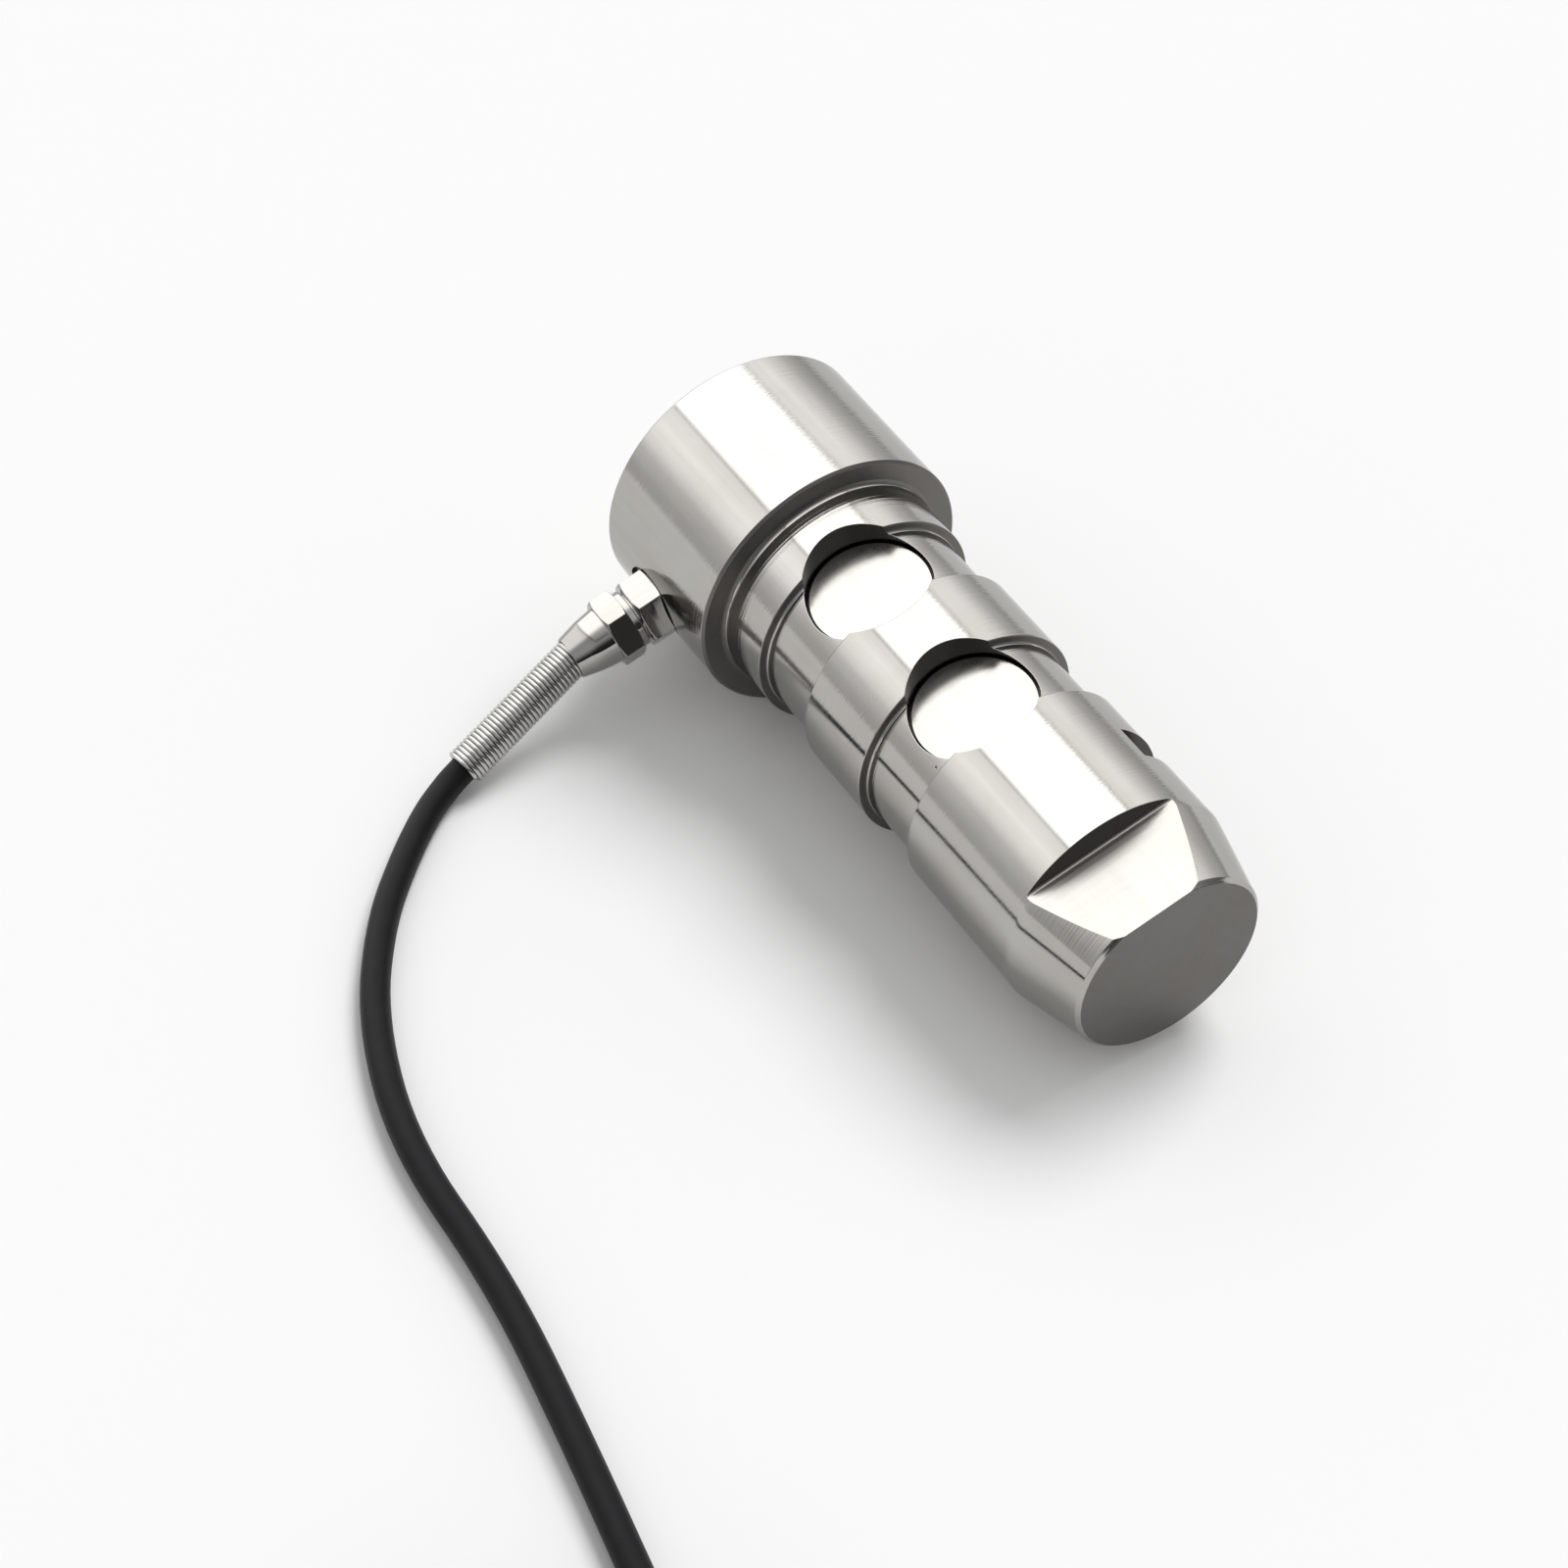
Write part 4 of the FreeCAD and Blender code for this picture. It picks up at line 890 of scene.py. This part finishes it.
# Parts of the head and the pin that keep their CAD shape, in the columns of CABLE_PARTS
HEAD_PARTS = (
    # stainless screws, cold headed: bright, with a faint grain
    ("cover_screws board_screws", "plain stainless screws", "B9B7B2", 0.3, 1.0, 0.5),
    # glass-epoxy board under solder lacquer: green, half gloss, with the weave's faint wave
    ("bridge_board", "green solder lacquer", "1E5B33", 0.35, 0.0, 0.9, 0.02),
    # brass bar, turned: warm and bright
    ("board_spacers", "turned brass", "C9A45C", 0.28, 1.0, 0.5),
    # polyamide, moulded: matt dark grey
    ("terminal_block", "polyamide terminal strip", "2B2E2C", 0.5, 0.0, 0.6, 0.02),
    # resistors dipped in lacquer: smooth slate grey
    ("trim_resistors", "lacquered resistors", "3A4048", 0.4, 0.0, 0.5),
    # fluoropolymer insulation, extruded: slippery, half-gloss red
    ("harness_upper harness_lower", "fluoropolymer wires", "A4342C", 0.35, 0.0, 0.5),
    # polyimide film, bonded to the web: glossy amber
    ("gauge_upper_1 gauge_upper_2 gauge_lower_1 gauge_lower_2", "polyimide strain gauge",
     "B57A2B", 0.3, 0.0, 0.4),
)


class LOADPIN_OT_cover(bpy.types.Operator):
    """Finishes the rear cover, its screws and everything inside the head"""

    bl_idname = "loadpin.cover"
    bl_label = "Cover and bridge"

    def execute(self, context):
        # stainless steel, faced on a lathe: pale, with fine rings
        dress("end_cover", lathe_metal("turned cover steel", linear("C8C6C2"),
                                       pin_axes(context.scene.load_pin), 0.26, 0.05, 0.5,
                                       0.004))
        dress_plain(HEAD_PARTS)
        return {"FINISHED"}


# Light that shows in the steel, round the long axis of the pin: degrees from overhead towards
# the gland's side, and strength. A broad soft box overhead, a dimmer one on each side of it
# with a narrow gap between them, and grey walls down to the floor.
STUDIO = (
    (-180, 0.30), (-93, 0.30), (-90, 0.53), (-72, 0.90), (-62, 1.32), (-50, 1.70), (-36, 1.58),
    (-35.2, 0.85), (-34, 0.85), (-33.2, 2.6), (26.4, 2.6), (27.2, 0.7), (28.4, 0.7),
    (29.2, 1.58), (44, 1.83), (56, 1.58), (68, 1.0), (80, 0.74), (93, 0.64), (180, 0.30),
)
# A ramp holds greys up to 1, so its strengths are shares of this one
STUDIO_FULL = 3.0
# Share of that light towards the front of the room: distance ahead on a unit sphere, and share.
# The boxes fade past the object, and straight ahead is the dark doorway behind the camera.
FRONT = ((-1.0, 1.0), (-0.15, 1.0), (0.0, 0.8), (0.15, 0.4), (0.3, 0.3), (0.75, 0.3),
         (0.92, 0.02), (1.0, 0.02))
# Light on matt surfaces: a key from above and beyond the pin, as wide as a large soft box and
# as even on the floor as a far one, and the strength of the even light from the room
KEY_FROM = (-1.5, 4.8, 7.2)
KEY_ANGLE = math.radians(31)
KEY_STRENGTH = 1.75
EVEN = 0.58
# Strength of the backdrop where the camera sees it, and the round floor
BACKDROP = 1.0
FLOOR_R = 6.0
FLOOR_SIDES = 96


class LOADPIN_OT_stage(bpy.types.Operator):
    """Lays the floor and lights the studio"""

    bl_idname = "loadpin.stage"
    bl_label = "Stage"

    def execute(self, context):
        looks = context.scene.load_stage
        self.lay_floor(context, looks)
        self.light_room(context, looks)
        lamp = bpy.data.lights.new("key", "SUN")
        lamp.angle = KEY_ANGLE
        lamp.energy = KEY_STRENGTH * looks.level
        key = bpy.data.objects.new("key", lamp)
        key.rotation_euler = (-Vector(KEY_FROM)).to_track_quat("-Z", "Y").to_euler()
        key.visible_glossy = False
        context.scene.collection.objects.link(key)
        return {"FINISHED"}

    def lay_floor(self, context, looks):
        """A flat disc at height 0: point = radius * (cos, sin) of each angle round it."""
        turn = 2 * math.pi * np.arange(FLOOR_SIDES) / FLOOR_SIDES
        rim = FLOOR_R * np.column_stack((np.cos(turn), np.sin(turn), np.zeros(FLOOR_SIDES)))
        mesh = bpy.data.meshes.new("floor")
        mesh.from_pydata(rim.tolist(), [], [list(range(FLOOR_SIDES))])
        floor = bpy.data.objects.new("floor", mesh)
        context.scene.collection.objects.link(floor)
        # painted board: pale and dead matt
        material, tree = new_material("matt white floor")
        shader = add(tree, "ShaderNodeBsdfPrincipled", Base_Color=looks.floor, Roughness=0.9,
                     Specular_IOR_Level=0.2)
        add(tree, "ShaderNodeOutputMaterial", Surface=shader.outputs[0])
        mesh.materials.append(material)

    def light_room(self, context, looks):
        """The room's light by direction: STUDIO round the pin's axis times FRONT along it for
        the steel's reflections, and an even light with a pale backdrop for the rest."""
        world = bpy.data.worlds.new("studio")
        world.use_nodes = True
        context.scene.world = world
        tree = world.node_tree
        tree.nodes.clear()
        here = add(tree, "ShaderNodeTexCoord")
        parts = add(tree, "ShaderNodeSeparateXYZ", Vector=here.outputs["Generated"])
        back = add(tree, "ShaderNodeMath", {"operation": "MULTIPLY"},
                   i0=parts.outputs["Y"], i1=-1.0)
        turn = add(tree, "ShaderNodeMath", {"operation": "ARCTAN2"},
                   i0=back.outputs[0], i1=parts.outputs["Z"])
        round_share = add(tree, "ShaderNodeMath", {"operation": "MULTIPLY_ADD"},
                          i0=turn.outputs[0], i1=0.5 / math.pi, i2=0.5)
        ahead_share = add(tree, "ShaderNodeMath", {"operation": "MULTIPLY_ADD"},
                          i0=parts.outputs["X"], i1=0.5, i2=0.5)
        ramps = []
        for share, stops in (
                (round_share, [(degrees / 360 + 0.5, strength / STUDIO_FULL)
                               for degrees, strength in STUDIO]),
                (ahead_share, [(ahead / 2 + 0.5, part) for ahead, part in FRONT])):
            ramp = add(tree, "ShaderNodeValToRGB", Fac=share.outputs[0])
            elements = ramp.color_ramp.elements
            elements.remove(elements[-1])
            for number, (place, grey) in enumerate(stops):
                element = elements[0] if number == 0 else elements.new(place)
                element.position = place
                element.color = (grey, grey, grey, 1.0)
            ramps.append(ramp.outputs[0])
        full = add(tree, "ShaderNodeMath", {"operation": "MULTIPLY"},
                   i0=ramps[1], i1=STUDIO_FULL * looks.level)
        boxes = add(tree, "ShaderNodeBackground", Color=ramps[0], Strength=full.outputs[0])
        path = add(tree, "ShaderNodeLightPath")
        even = add(tree, "ShaderNodeMath", {"operation": "MULTIPLY_ADD"},
                   i0=path.outputs["Is Camera Ray"], i1=BACKDROP - EVEN * looks.level,
                   i2=EVEN * looks.level)
        room = add(tree, "ShaderNodeBackground", Strength=even.outputs[0], Color=looks.floor)
        both = add(tree, "ShaderNodeMixShader", Fac=path.outputs["Is Glossy Ray"],
                   i1=room.outputs[0], i2=boxes.outputs[0])
        add(tree, "ShaderNodeOutputWorld", Surface=both.outputs[0])


class LOADPIN_PT_panel(bpy.types.Panel):
    """Lists the operators and the sizes of the load pin"""

    bl_label = "Load Pin"
    bl_space_type = "VIEW_3D"
    bl_region_type = "UI"
    bl_category = "Load Pin"

    def draw(self, context):
        for operator in OPERATORS:
            self.layout.operator(operator.bl_idname)
        for name, _group in GROUPS:
            group = getattr(context.scene, name)
            box = self.layout.box()
            for size in group.__annotations__:
                box.prop(group, size)


GROUPS = (("load_pin", LoadPinSizes), ("load_gland", GlandSizes), ("load_cable", CableSizes),
          ("load_stage", StageLooks))
OPERATORS = (LOADPIN_OT_camera, LOADPIN_OT_cable, LOADPIN_OT_pin, LOADPIN_OT_discs,
             LOADPIN_OT_gland, LOADPIN_OT_spring, LOADPIN_OT_cover, LOADPIN_OT_stage)


def register():
    """Adds the property groups, the operators and the panel."""
    for name, group in GROUPS:
        bpy.utils.register_class(group)
        setattr(bpy.types.Scene, name, bpy.props.PointerProperty(type=group))
    for operator in OPERATORS:
        bpy.utils.register_class(operator)
    bpy.utils.register_class(LOADPIN_PT_panel)


def unregister():
    """Takes away what register added."""
    bpy.utils.unregister_class(LOADPIN_PT_panel)
    for operator in reversed(OPERATORS):
        bpy.utils.unregister_class(operator)
    for name, group in reversed(GROUPS):
        delattr(bpy.types.Scene, name)
        bpy.utils.unregister_class(group)


def main():
    """Registers the add-on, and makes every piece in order."""
    register()
    bpy.ops.loadpin.camera()
    bpy.ops.loadpin.cable()
    bpy.ops.loadpin.pin()
    bpy.ops.loadpin.discs()
    bpy.ops.loadpin.gland()
    bpy.ops.loadpin.spring()
    bpy.ops.loadpin.cover()
    bpy.ops.loadpin.stage()


if __name__ == "__main__":
    main()
